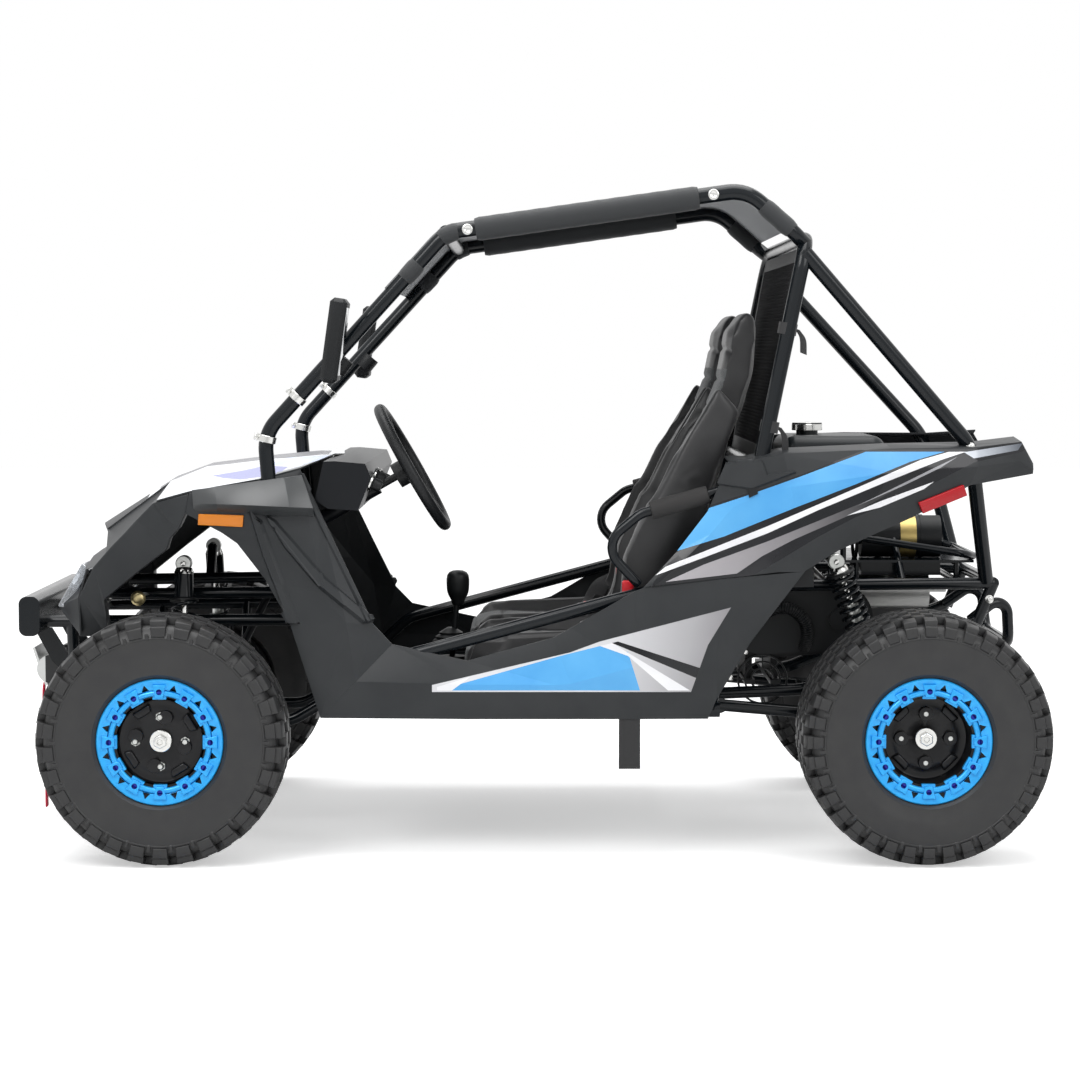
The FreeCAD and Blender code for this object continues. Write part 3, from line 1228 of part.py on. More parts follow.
muffler = rod(Vector(rear(-105, 0, 0).x, -150, muffler_z), Vector(rear(90, 0, 0).x, -150, muffler_z), 44)
header = tube([Vector(rear(80, 0, 0).x, -150, muffler_z), Vector(rear(140, 0, 0).x, -150, muffler_z),
               Vector(rear(200, 0, 0).x, -135, muffler_z + 60), Vector(crank.x - 10, -110, head_base + 140),
               Vector(crank.x, -40, head_base + 145)], 15, 50)
hanger = block((rear(-5, 0, 0).x, -160, muffler_z + 30), (rear(5, 0, 0).x, -140, top_rear_z + 4))
hanger_bar = rod(Vector(rear(0, 0, 0).x, -240, top_rear_z + 4), Vector(rear(0, 0, 0).x, -120, top_rear_z + 4),
                 6)
tail_pipe = rod(Vector(rear(-150, 0, 0).x, -150, muffler_z + 10), Vector(rear(-100, 0, 0).x, -150,
                                                                         muffler_z + 10),
                14)
exhaust_shape = coped(fused([muffler, header, hanger, hanger_bar, tail_pipe]), engine_shape, rear_shape,
                      rack_shape, box_shape, cage_shape, cleaner_shape)
feature("exhaust", exhaust_shape)

# Gear lever and pedals
lever_base = cabin(174, 0, floor_top - sill_z)
lever = fused([Part.makeCone(58, 34, 48, lever_base),
               rod(lever_base.add(Vector(0, 0, 40)), lever_base.add(Vector(-14, 0, 200)), 7),
               Part.makeSphere(26, lever_base.add(Vector(-15, 0, 215)))])
pedals = []
for across in (170, 290):
    hinge = Vector(402, across, floor_top + 150)
    pedals.append(rod(hinge, Vector(352, across, floor_top + 40), 6))
    pedals.append(block((330, across - 32, floor_top + 20), (342, across + 32, floor_top + 90)))
    pedals.append(rod(Vector(346, across, floor_top + 45), Vector(336, across, floor_top + 45), 6))
pedal_shape = fused([rod(Vector(402, 130, floor_top + 150), Vector(402, 330, floor_top + 150), 7)] + pedals
                    + [block((396, 130, floor_top), (408, 138, floor_top + 156)),
                       block((396, 322, floor_top), (408, 330, floor_top + 156))])
controls = Part.makeCompound([coped(lever, floor_shape), coped(pedal_shape, footwell, column_shape)])
feature("controls", controls)
document.recompute()
for item in document.Objects:
    if "Invalid" in item.State or "Error" in item.State:
        raise RuntimeError("failed object: " + item.Label)
for item in pieces:
    if item.Shape.isNull() or not item.Shape.isValid():
        raise RuntimeError("bad shape: " + item.Label)

os.makedirs("parts", exist_ok=True)
for item in pieces:
    item.Shape.exportStep("parts/%s.step" % item.Label)
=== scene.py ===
import bpy
from math import atan2, cos, exp, pi, radians, sin, sqrt, tan
from mathutils import Matrix, Vector


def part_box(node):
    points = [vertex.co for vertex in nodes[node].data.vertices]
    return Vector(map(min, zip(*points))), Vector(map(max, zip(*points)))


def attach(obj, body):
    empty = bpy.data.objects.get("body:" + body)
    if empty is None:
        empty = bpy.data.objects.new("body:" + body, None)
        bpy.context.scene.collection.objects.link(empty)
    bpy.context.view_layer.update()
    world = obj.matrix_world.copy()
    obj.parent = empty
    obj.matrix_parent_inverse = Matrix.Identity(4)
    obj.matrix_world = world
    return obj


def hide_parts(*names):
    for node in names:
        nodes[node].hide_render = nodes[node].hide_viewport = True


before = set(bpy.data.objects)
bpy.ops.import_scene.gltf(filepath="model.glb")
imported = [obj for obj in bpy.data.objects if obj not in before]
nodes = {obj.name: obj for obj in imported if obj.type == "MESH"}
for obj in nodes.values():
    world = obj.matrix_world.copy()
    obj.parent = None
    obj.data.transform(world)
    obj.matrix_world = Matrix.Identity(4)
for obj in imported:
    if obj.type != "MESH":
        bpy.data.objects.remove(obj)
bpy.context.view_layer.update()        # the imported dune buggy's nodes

print("frame loaded with", len(nodes), "nodes")


# Camera and the lines of sight that place the printed graphics

cameraSettings = {"place": (-0.0294, 6.7228, 1.1425), "pitch": 3.911, "yaw": -0.097, "lens": 92.38,
    "sensor": 36.0}
photoSettings = {"side": 1080, "centre": 540}


def addCamera():
    tilt = (radians(90 - cameraSettings["pitch"]), 0, radians(180 + cameraSettings["yaw"]))
    bpy.ops.object.camera_add(location=cameraSettings["place"], rotation=tilt)
    camera = bpy.context.object
    camera.data.lens = cameraSettings["lens"]
    camera.data.sensor_width = cameraSettings["sensor"]
    camera.data.clip_end = 60
    bpy.context.scene.camera = camera
    bpy.context.view_layer.update()
    return camera


camera = addCamera()
cameraPlace = Vector(cameraSettings["place"])
cameraTurn = camera.matrix_world.to_3x3()
focalPixels = cameraSettings["lens"] / cameraSettings["sensor"] * photoSettings["side"]


def sightLine(pixel):
    across = (pixel[0] - photoSettings["centre"]) / focalPixels
    up = (photoSettings["centre"] - pixel[1]) / focalPixels
    return cameraTurn @ Vector((across, up, -1))


def pixelOf(point):
    local = cameraTurn.transposed() @ (point - cameraPlace)
    return (photoSettings["centre"] - focalPixels * local.x / local.z,
        photoSettings["centre"] + focalPixels * local.y / local.z)


# Small tools for modelling by operator

def clearSelection():
    if bpy.context.object and bpy.context.object.mode != "OBJECT":
        bpy.ops.object.mode_set(mode="OBJECT")
    bpy.ops.object.select_all(action="DESELECT")


def pick(piece):
    clearSelection()
    piece.hide_set(False)
    piece.select_set(True)
    bpy.context.view_layer.objects.active = piece


def editAll(piece, mode="FACE"):
    pick(piece)
    bpy.ops.object.mode_set(mode="EDIT")
    bpy.ops.mesh.select_mode(type=mode)
    bpy.ops.mesh.select_all(action="SELECT")


def doneEditing():
    bpy.ops.object.mode_set(mode="OBJECT")


def selectFaces(piece, wanted):
    pick(piece)
    bpy.ops.object.mode_set(mode="EDIT")
    bpy.ops.mesh.select_mode(type="FACE")
    bpy.ops.mesh.select_all(action="DESELECT")
    bpy.ops.object.mode_set(mode="OBJECT")
    for face in piece.data.polygons:
        face.select = wanted(face)
    bpy.ops.object.mode_set(mode="EDIT")


def applied(piece, kind, **values):
    pick(piece)
    modifier = piece.modifiers.new(kind.lower(), kind)
    for key, value in values.items():
        setattr(modifier, key, value)
    bpy.ops.object.modifier_apply(modifier=modifier.name)
    return piece


def settle(piece):
    pick(piece)
    bpy.ops.object.transform_apply(location=True, rotation=True, scale=True)
    return piece


def joined(name, parts):
    clearSelection()
    for part in parts:
        part.select_set(True)
    bpy.context.view_layer.objects.active = parts[0]
    if len(parts) > 1:
        bpy.ops.object.join()
    parts[0].name = name
    parts[0].data.name = name
    return parts[0]


def copyOf(piece, name):
    double = piece.copy()
    double.data = piece.data.copy()
    double.name = name
    bpy.context.scene.collection.objects.link(double)
    return double


def shadeBy(piece, degrees=35):
    pick(piece)
    bpy.ops.object.shade_smooth_by_angle(angle=radians(degrees))
    return piece


def outwards(piece):
    editAll(piece)
    bpy.ops.mesh.normals_make_consistent(inside=False)
    doneEditing()
    return piece


def merged(piece, distance=0.00005):
    editAll(piece, "VERT")
    bpy.ops.mesh.remove_doubles(threshold=distance)
    doneEditing()
    return piece


def moved(piece, matrix):
    piece.data.transform(matrix)
    if matrix.determinant() < 0:
        editAll(piece)
        bpy.ops.mesh.flip_normals()
        doneEditing()
    return piece


def bevelled(piece, width, segments, angle=30):
    return applied(piece, "BEVEL", width=width, segments=segments, limit_method="ANGLE",
        angle_limit=radians(angle))


def mirrored(piece, name):
    return moved(copyOf(piece, name), Matrix.Scale(-1, 4, Vector((0, 1, 0))))


def placed(piece, place, turn=Matrix()):
    piece.data.transform(Matrix.Translation(place) @ turn)


def turnTo(way, axis="Z", up="Y"):
    return way.to_track_quat(axis, up).to_matrix().to_4x4()


def coat(piece, *names):
    for name in names:
        piece.data.materials.append(finishes[name])


def recoat(piece, *names):
    piece.data.materials.clear()
    coat(piece, *names)


def finishPiece(piece, name, finish=None, smooth=35, body="chassis"):
    # one piece, or the list of parts it is joined from, with its name, finish and body
    if isinstance(piece, list):
        piece = joined(name, piece)
    settle(piece)
    piece.name = name
    piece.data.name = name
    if finish:
        recoat(piece, finish)
    if smooth:
        shadeBy(piece, smooth)
    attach(piece, body)
    return piece


def turnedRing(name, outline, steps):
    # outline is a closed loop of (along the axle, radius), turned about Y
    bpy.ops.mesh.primitive_circle_add(vertices=len(outline), radius=0.1)
    ring = bpy.context.object
    ring.name = name
    for vertex, (along, reach) in zip(ring.data.vertices, outline):
        vertex.co = (0, along, reach)
    editAll(ring, "VERT")
    bpy.ops.mesh.spin(steps=steps, angle=2 * pi, center=(0, 0, 0), axis=(0, 1, 0))
    bpy.ops.mesh.select_all(action="SELECT")
    bpy.ops.mesh.remove_doubles(threshold=0.00002)
    bpy.ops.mesh.normals_make_consistent(inside=False)
    doneEditing()
    return ring


def brick(low, high):
    middle = [(a + b) / 2 for a, b in zip(low, high)]
    bpy.ops.mesh.primitive_cube_add(size=1, location=middle)
    part = bpy.context.object
    part.scale = [b - a for a, b in zip(low, high)]
    return settle(part)


def bar(start, end, radius, sides=20):
    start, end = Vector(start), Vector(end)
    along = end - start
    bpy.ops.mesh.primitive_cylinder_add(vertices=sides, radius=radius, depth=along.length,
        location=(start + end) / 2)
    part = bpy.context.object
    part.rotation_mode = "QUATERNION"
    part.rotation_quaternion = along.to_track_quat("Z", "Y")
    return settle(part)


def smoothPath(points, count):
    # evenly spaced points on a curve through the given ones
    points = [Vector(point) for point in points]
    ends = [points[0] * 2 - points[1]] + points + [points[-1] * 2 - points[-2]]
    line = []
    for a, b, c, d in zip(ends, ends[1:], ends[2:], ends[3:]):
        for index in range(12):
            t = index / 12
            line.append(0.5 * (2 * b + (c - a) * t + (2 * a - 5 * b + 4 * c - d) * t ** 2
                + (3 * b - a - 3 * c + d) * t ** 3))
    line.append(points[-1])
    lengths = [0.0]
    for a, b in zip(line, line[1:]):
        lengths.append(lengths[-1] + (b - a).length)
    result = []
    for index in range(count):
        goal = lengths[-1] * index / (count - 1)
        step = max(i for i, length in enumerate(lengths) if length <= goal + 1e-9)
        step = min(step, len(line) - 2)
        share = (goal - lengths[step]) / max(lengths[step + 1] - lengths[step], 1e-9)
        result.append(line[step].lerp(line[step + 1], share))
    return result


def swept(path, radius, sides=14):
    # a round section carried along a line of points
    count = len(path)
    bpy.ops.mesh.primitive_cylinder_add(vertices=sides, radius=radius, depth=1, end_fill_type="NGON")
    part = bpy.context.object
    editAll(part)
    for index in range(count - 2):
        level = -0.5 + (index + 1) / (count - 1)
        bpy.ops.mesh.select_all(action="SELECT")
        bpy.ops.mesh.bisect(plane_co=(0, 0, level), plane_no=(0, 0, 1))
    doneEditing()
    ways = [(after - before).normalized() for before, after in zip(path, path[1:])]
    upHint = Vector((0, 1, 0))
    frames = []
    for index, point in enumerate(path):
        ahead = (ways[max(index - 1, 0)] + ways[min(index, count - 2)]).normalized()
        sideways = upHint.cross(ahead)
        if sideways.length < 0.05:
            sideways = Vector((1, 0, 0)).cross(ahead)
        sideways.normalize()
        upHint = ahead.cross(sideways)
        frames.append((point, sideways, upHint.copy()))
    for vertex in part.data.vertices:
        index = round((vertex.co.z + 0.5) * (count - 1))
        point, sideways, up = frames[max(0, min(count - 1, index))]
        vertex.co = point + sideways * vertex.co.x + up * vertex.co.y
    return outwards(part)


def hose(points, radius, count=40, sides=14):
    return swept(smoothPath(points, count), radius, sides)


def bentLine(corners, bend, steps=9):
    # straight runs joined by round bends
    line = [corners[0]]
    for before, corner, after in zip(corners, corners[1:], corners[2:]):
        back, ahead = before - corner, after - corner
        reach = 0.48 * min(back.length, ahead.length)
        back.normalize()
        ahead.normalize()
        half = back.angle(ahead) / 2
        radius = min(bend, reach * tan(half))
        middle = (back + ahead).normalized()
        centre = corner + middle * (radius / sin(half))
        first = (corner + back * (radius / tan(half)) - centre).normalized()
        last = (corner + ahead * (radius / tan(half)) - centre).normalized()
        for step in range(steps + 1):
            line.append(centre + first.slerp(last, step / steps) * radius)
    line.append(corners[-1])
    return line


# Finishes, with their grain and mottle in metres of the object's own place

def newFinish(name, colour, roughness, metallic=0.0, **sockets):
    finish = bpy.data.materials.new(name)
    finish.use_nodes = True
    shader = finish.node_tree.nodes["Principled BSDF"]
    shader.inputs["Base Color"].default_value = (*colour, 1)
    shader.inputs["Roughness"].default_value = roughness
    shader.inputs["Metallic"].default_value = metallic
    for key, value in sockets.items():
        shader.inputs[key.replace("_", " ")].default_value = value
    return finish


def addNode(finish, kind, **values):
    item = finish.node_tree.nodes.new(kind)
    for key, value in values.items():
        if key in item.inputs.keys():
            item.inputs[key].default_value = value
        else:
            setattr(item, key, value)
    return item


def wire(finish, source, output, target, socket):
    finish.node_tree.links.new(source.outputs[output], target.inputs[socket])


def shaderOf(finish):
    return finish.node_tree.nodes["Principled BSDF"]


def objectPlace(finish, stretch=(1, 1, 1)):
    where = addNode(finish, "ShaderNodeTexCoord")
    mapping = addNode(finish, "ShaderNodeMapping")
    mapping.inputs["Scale"].default_value = stretch
    wire(finish, where, "Object", mapping, "Vector")
    return mapping


def addGrain(finish, scale, strength, distance=0.0005, detail=4, stretch=(1, 1, 1)):
    noise = addNode(finish, "ShaderNodeTexNoise", Scale=scale, Detail=detail)
    wire(finish, objectPlace(finish, stretch), "Vector", noise, "Vector")
    bump = addNode(finish, "ShaderNodeBump", Strength=strength, Distance=distance)
    wire(finish, noise, "Fac", bump, "Height")
    wire(finish, bump, "Normal", shaderOf(finish), "Normal")
    return bump


def addMottle(finish, first, second, scale, low=0.35, high=0.65, stretch=(1, 1, 1)):
    noise = addNode(finish, "ShaderNodeTexNoise", Scale=scale, Detail=5)
    wire(finish, objectPlace(finish, stretch), "Vector", noise, "Vector")
    ramp = addNode(finish, "ShaderNodeValToRGB")
    ramp.color_ramp.elements[0].position = low
    ramp.color_ramp.elements[0].color = (*first, 1)
    ramp.color_ramp.elements[1].position = high
    ramp.color_ramp.elements[1].color = (*second, 1)
    wire(finish, noise, "Fac", ramp, "Fac")
    wire(finish, ramp, "Color", shaderOf(finish), "Base Color")
    return ramp


def addSmears(finish, scale, low, high):
    noise = addNode(finish, "ShaderNodeTexNoise", Scale=scale, Detail=3)
    wire(finish, objectPlace(finish), "Vector", noise, "Vector")
    spread = addNode(finish, "ShaderNodeMapRange")
    spread.inputs["To Min"].default_value = low
    spread.inputs["To Max"].default_value = high
    wire(finish, noise, "Fac", spread, "Value")
    wire(finish, spread, "Result", shaderOf(finish), "Roughness")
    return finish


def makeFinishes():
    made = {}

    def keep(name, *look, **sockets):
        made[name] = newFinish(name, *look, **sockets)
        return made[name]

    panel = keep("charcoalPlastic", (0.024, 0.026, 0.028), 0.4, Specular_IOR_Level=0.28)
    addMottle(panel, (0.022, 0.024, 0.026), (0.028, 0.03, 0.032), 9)
    addGrain(panel, 1400, 0.1, 0.0004)
    tube = keep("glossTubePaint", (0.004, 0.006, 0.008), 0.16, Specular_IOR_Level=0.32)
    addSmears(tube, 30, 0.12, 0.22)
    plate = keep("plateBlack", (0.006, 0.007, 0.009), 0.33, Specular_IOR_Level=0.22)
    addGrain(plate, 700, 0.12, 0.0003)
    rubber = keep("tyreRubber", (0.022, 0.022, 0.023), 0.42, Specular_IOR_Level=0.45)
    addMottle(rubber, (0.019, 0.019, 0.02), (0.026, 0.026, 0.026), 22, 0.3, 0.75)
    addGrain(rubber, 900, 0.15, 0.0004)
    ringBlue = keep("ringBlue", (0.01, 0.36, 0.82), 0.28, 0.35, Coat_Weight=0.4, Coat_Roughness=0.1)
    addMottle(ringBlue, (0.008, 0.33, 0.78), (0.014, 0.4, 0.88), 60)
    # a much darker blue for the walls of the bosses' holes: painted shade inside the holes
    keep("holeShadeBlue", (0.004, 0.012, 0.3), 0.4, 0.3)
    dish = keep("dishBlack", (0.006, 0.006, 0.007), 0.28, 0.0, Specular_IOR_Level=0.3)
    addGrain(dish, 500, 0.08, 0.0004)
    chrome = keep("chromeNut", (0.72, 0.72, 0.7), 0.14, 1.0)
    addSmears(chrome, 60, 0.1, 0.24)
    zinc = keep("zincSteel", (0.58, 0.59, 0.57), 0.32, 1.0)
    addSmears(zinc, 80, 0.25, 0.42)
    alloy = keep("castAlloy", (0.42, 0.42, 0.41), 0.45, 0.9)
    addGrain(alloy, 600, 0.35, 0.0005)
    yellowZinc = keep("yellowZinc", (0.62, 0.52, 0.28), 0.35, 1.0)
    addSmears(yellowZinc, 80, 0.28, 0.45)
    seatSkin = keep("seatVinyl", (0.02, 0.021, 0.023), 0.38, Specular_IOR_Level=0.4, Sheen_Weight=0.1)
    addMottle(seatSkin, (0.019, 0.019, 0.02), (0.028, 0.028, 0.029), 14)
    addGrain(seatSkin, 650, 0.3, 0.0006)
    seatCloth = keep("seatCloth", (0.075, 0.08, 0.082), 0.75, Sheen_Weight=0.3)
    addMottle(seatCloth, (0.06, 0.065, 0.067), (0.09, 0.096, 0.098), 240)
    addGrain(seatCloth, 1600, 0.5, 0.0008)
    foam = keep("armFoam", (0.02, 0.019, 0.019), 0.8)
    addGrain(foam, 800, 0.5, 0.0008)
    topCloth = keep("topCloth", (0.02, 0.022, 0.024), 0.72, Sheen_Weight=0.2)
    addGrain(topCloth, 1100, 0.5, 0.0006)
    liner = keep("topLiner", (0.36, 0.37, 0.38), 0.8)
    addGrain(liner, 900, 0.4, 0.0006)
    net = keep("netCord", (0.012, 0.012, 0.013), 0.7)
    addGrain(net, 1500, 0.5, 0.0004)
    web = keep("webbing", (0.016, 0.016, 0.017), 0.7, Sheen_Weight=0.2)
    addGrain(web, 1300, 0.6, 0.0005, stretch=(1, 3, 1))
    keep("moulded", (0.01, 0.011, 0.012), 0.42, Specular_IOR_Level=0.25)
    addGrain(made["moulded"], 1000, 0.15, 0.0004)
    keep("tankPlastic", (0.009, 0.012, 0.014), 0.35, Specular_IOR_Level=0.3)
    addGrain(made["tankPlastic"], 300, 0.08, 0.0006)
    wheelGrip = keep("gripLeather", (0.01, 0.011, 0.012), 0.42, Specular_IOR_Level=0.3)
    addGrain(wheelGrip, 900, 0.35, 0.0006)
    keep("amberLens", (0.68, 0.2, 0.004), 0.18, Specular_IOR_Level=0.5)
    keep("redLens", (0.42, 0.004, 0.01), 0.18, Specular_IOR_Level=0.45)
    for name in ("amberLens", "redLens"):
        addGrain(made[name], 420, 0.35, 0.0008)
    clear = keep("lampClear", (0.86, 0.9, 0.95), 0.08, Transmission_Weight=0.75, Coat_Weight=0.5)
    addGrain(clear, 60, 0.15, 0.002)
    keep("lampSilver", (0.8, 0.82, 0.85), 0.15, 0.9)
    addSmears(made["lampSilver"], 40, 0.1, 0.25)
    printGrey = keep("printGrey", (0.34, 0.34, 0.36), 0.25)
    addMottle(printGrey, (0.28, 0.28, 0.3), (0.4, 0.4, 0.42), 9)
    printWhite = keep("printWhite", (0.8, 0.8, 0.82), 0.25, Coat_Weight=0.5)
    addMottle(printWhite, (0.76, 0.76, 0.79), (0.84, 0.84, 0.85), 7)
    printBlue = keep("printBlue", (0.09, 0.38, 0.74), 0.25, Specular_IOR_Level=0.4)
    addMottle(printBlue, (0.075, 0.34, 0.7), (0.12, 0.43, 0.78), 5)
    printBlack = keep("printBlack", (0.005, 0.006, 0.008), 0.14, Specular_IOR_Level=0.4)
    addMottle(printBlack, (0.005, 0.006, 0.008), (0.012, 0.012, 0.015), 6)
    printViolet = keep("printViolet", (0.16, 0.17, 0.5), 0.25, Coat_Weight=0.5)
    addMottle(printViolet, (0.14, 0.15, 0.46), (0.2, 0.22, 0.56), 5)
    printPale = keep("printPale", (0.5, 0.58, 0.82), 0.25)
    addMottle(printPale, (0.44, 0.52, 0.8), (0.6, 0.66, 0.84), 6)
    # a lighter charcoal for the side panels' top rails: painted sheen on the bevel that faces up into the
    # light
    edge = keep("charcoalEdgeSheen", (0.045, 0.048, 0.05), 0.3, Specular_IOR_Level=0.6)
    addMottle(edge, (0.04, 0.043, 0.045), (0.052, 0.055, 0.057), 9)
    hoodWhite = keep("hoodWhite", (0.78, 0.8, 0.84), 0.25, Coat_Weight=0.6, Coat_Roughness=0.06)
    addMottle(hoodWhite, (0.74, 0.76, 0.8), (0.82, 0.84, 0.87), 3)
    hoodGrey = keep("hoodGrey", (0.2, 0.2, 0.215), 0.35)
    addMottle(hoodGrey, (0.18, 0.18, 0.195), (0.23, 0.23, 0.245), 5)
    redWeb = keep("redWebbing", (0.62, 0.015, 0.05), 0.65)
    addGrain(redWeb, 1300, 0.6, 0.0005)
    keep("buckleRed", (0.65, 0.01, 0.02), 0.35)
    addSmears(made["buckleRed"], 40, 0.3, 0.4)
    goldBand = keep("goldBand", (0.55, 0.42, 0.16), 0.35, 0.9)
    addSmears(goldBand, 40, 0.3, 0.5)
    mirrorGlass = keep("mirrorGlass", (0.85, 0.87, 0.88), 0.03, 1.0)
    addSmears(mirrorGlass, 20, 0.02, 0.05)
    return made


finishes = makeFinishes()


def fadeAlong(finish, start, end, first, second, middle=0.5):
    # a printed fade from one colour to another between two places on the panel
    start, end = Vector(start), Vector(end)
    way = end - start
    where = addNode(finish, "ShaderNodeTexCoord")
    shift = addNode(finish, "ShaderNodeVectorMath", operation="SUBTRACT")
    shift.inputs[1].default_value = start
    wire(finish, where, "Object", shift, 0)
    reach = addNode(finish, "ShaderNodeVectorMath", operation="DOT_PRODUCT")
    reach.inputs[1].default_value = way / way.length_squared
    wire(finish, shift, "Vector", reach, 0)
    ramp = addNode(finish, "ShaderNodeValToRGB")
    ramp.color_ramp.elements[0].color = (*first, 1)
    ramp.color_ramp.elements[1].color = (*second, 1)
    half = ramp.color_ramp.elements.new(middle)
    half.color = (*[(a + b) / 2 for a, b in zip(first, second)], 1)
    wire(finish, reach, "Value", ramp, "Fac")
    wire(finish, ramp, "Color", shaderOf(finish), "Base Color")


print("finishes made:", len(finishes))

# Tyres: a turned carcass with rows of tread blocks

wheelPlan = {
    "front": {"centre": (0.8, 0.576, 0.2795), "half": 0.089, "rim": 0.078, "dish": 0.048, "pitches": 30},
    "rear": {"centre": (-0.9, 0.538, 0.2795), "half": 0.127, "rim": 0.11, "dish": 0.036, "pitches": 36},
}
tyreSettings = {"reach": 0.2795, "depth": 0.0165, "bead": 0.1405, "steps": 120}


def carcassOutline(half, rim):
    base = tyreSettings["reach"] - tyreSettings["depth"]
    bead = tyreSettings["bead"]
    side = [(rim - 0.016, bead - 0.01), (rim - 0.01, bead - 0.002), (rim - 0.0035, bead + 0.004),
        (rim + 0.001, bead + 0.0085), (rim + 0.0022, bead + 0.0095), (rim + 0.0024, bead + 0.012),
        (half - 0.0048, 0.176), (half - 0.0022, 0.19), (half - 0.0008, 0.206), (half - 0.0012, 0.22),
        (half - 0.0022, 0.229), (half - 0.0012, 0.23), (half - 0.0016, 0.2325), (half - 0.0034, 0.234),
        (half - 0.0078, 0.244), (half - 0.015, 0.254), (half - 0.026, base - 0.004)]
    top = [(half * 0.5, base - 0.0016), (half * 0.25, base - 0.0004), (0, base)]
    inner = [(half * 0.5, base - 0.012), (half - 0.03, base - 0.016), (half - 0.016, 0.234),
        (half - 0.012, 0.205), (half - 0.018, 0.17), (rim - 0.026, bead + 0.004), (rim - 0.03, bead - 0.01)]
    outer = side + top
    loop = outer + [(-y, r) for y, r in reversed(outer[:-1])]
    inside = [(-y, r) for y, r in reversed(inner)] + [(0, base - 0.011)] + inner
    return loop + inside


def blockAt(corners):
    # a tread block from 4 foot corners and 4 head corners, each (along the axle, radius, turn)
    bpy.ops.mesh.primitive_cube_add(size=1)
    block = bpy.context.object
    order = sorted(block.data.vertices, key=lambda v: (v.co.z, v.co.y, v.co.x))
    reach = tyreSettings["reach"]
    for vertex, (along, radius, around) in zip(order, corners):
        turn = around / reach
        vertex.co = (radius * sin(turn), along, radius * cos(turn))
    return block


def treadBlock(y0, y1, foot0, foot1, head0, head1, length, shift, slant=0.0, draft=0.0022):
    # y0 to y1 along the axle, the foot's and head's radius at each, length and shift around the tyre
    half = length / 2
    corners = [(y0 - draft, foot0, shift - half - draft), (y0 - draft, foot0, shift + half + draft),
        (y1 + draft, foot1, shift - half - draft + slant), (y1 + draft, foot1,
        shift + half + draft + slant), (y0, head0, shift - half), (y0, head0, shift + half),
        (y1, head1, shift - half + slant), (y1, head1, shift + half + slant)]
    return blockAt(corners)


def treadSector(half, pitch, rows):
    reach = tyreSettings["reach"]
    base = reach - tyreSettings["depth"]
    parts = []
    for sideways in (1, -1):
        # the shoulder block wraps over the edge of the tread, and a rib runs on down the sidewall
        start, end = half - 0.034, half - 0.0065
        length = pitch * rows["shoulder"]
        shoulder = treadBlock(start * sideways, end * sideways, base - 0.006, 0.247, reach - 0.002,
            reach - 0.0085, length, 0.0, 0.0, 0.0)
        parts.append(shoulder)
        lower = treadBlock((half - 0.016) * sideways, (half - 0.0016) * sideways, 0.23, 0.2355,
            reach - 0.016, reach - 0.0225, length * 0.96, 0.0, 0.0, 0.0)
        parts.append(lower)
        rib = treadBlock((half - 0.008) * sideways, (half + 0.0) * sideways, 0.22, 0.23, 0.24, 0.244,
            pitch * rows["rib"], pitch * 0.5, 0.0, 0.0)
        parts.append(rib)
        for place, width, share, shift in rows["middle"]:
            low, high = half * place - width / 2, half * place + width / 2
            drop0, drop1 = (low / half) ** 2 * 0.0022, (high / half) ** 2 * 0.0022
            offset = pitch * shift
            parts.append(treadBlock(low * sideways, high * sideways, base - 0.004, base - 0.004,
                reach - drop0, reach - drop1, pitch * share, offset, 0.0, 0.0))
    for share, width, shift in rows["centre"]:
        parts.append(treadBlock(-width / 2, width / 2, base - 0.003, base - 0.003, reach, reach,
            pitch * share, pitch * shift, 0.0, 0.0))
    for part in parts:
        outwards(part)
    sector = joined("treadSector", parts)
    bevelled(sector, 0.0018, 2)
    return sector


def roundArray(piece, count, name):
    bpy.ops.object.empty_add(location=(0, 0, 0), rotation=(0, 2 * pi / count, 0))
    turner = bpy.context.object
    applied(piece, "ARRAY", use_relative_offset=False, use_object_offset=True, offset_object=turner,
        count=count)
    clearSelection()
    turner.select_set(True)
    bpy.ops.object.delete()
    piece.name = name
    return piece


treadRows = {
    "front": {"shoulder": 0.65, "rib": 0.16, "middle": [(0.44, 0.03, 0.62, 0.5)],
        "centre": [(0.5, 0.03, 0.0)]},
    "rear": {"shoulder": 0.62, "rib": 0.2, "middle": [(0.58, 0.03, 0.62, 0.5), (0.29, 0.028, 0.6, 0.0)],
        "centre": [(0.56, 0.026, 0.5)]},
}


def makeTyre(kind):
    plan = wheelPlan[kind]
    carcass = turnedRing(kind + "Carcass", carcassOutline(plan["half"], plan["rim"]), tyreSettings["steps"])
    pitch = 2 * pi * tyreSettings["reach"] / plan["pitches"]
    tread = treadSector(plan["half"], pitch, treadRows[kind])
    roundArray(tread, plan["pitches"], kind + "Tread")
    tyre = joined(kind + "Tyre", [carcass, tread])
    recoat(tyre, "tyreRubber")
    return shadeBy(tyre, 40)


# Rims: a turned dish with stamped pockets, and the beadlock ring with its 12 bosses

ringSettings = {"outer": 0.1406, "bosses": 12, "bar": 0.109, "barThick": 0.0068, "hole": 0.0065,
    "holeAt": 0.112}


def wedge(inner, innerWidth, outer, outerWidth, y0, y1):
    bpy.ops.mesh.primitive_cube_add(size=1)
    part = bpy.context.object
    order = sorted(part.data.vertices, key=lambda v: (v.co.z, v.co.y, v.co.x))
    places = [(-innerWidth / 2, y0, inner), (innerWidth / 2, y0, inner), (-innerWidth / 2, y1, inner),
        (innerWidth / 2, y1, inner), (-outerWidth / 2, y0, outer), (outerWidth / 2, y0, outer),
        (-outerWidth / 2, y1, outer), (outerWidth / 2, y1, outer)]
    for vertex, place in zip(order, places):
        vertex.co = place
    return outwards(part)


def cutBy(piece, tool):
    applied(piece, "BOOLEAN", operation="DIFFERENCE", solver="EXACT", object=tool)
    clearSelection()
    tool.select_set(True)
    bpy.ops.object.delete()
    return piece


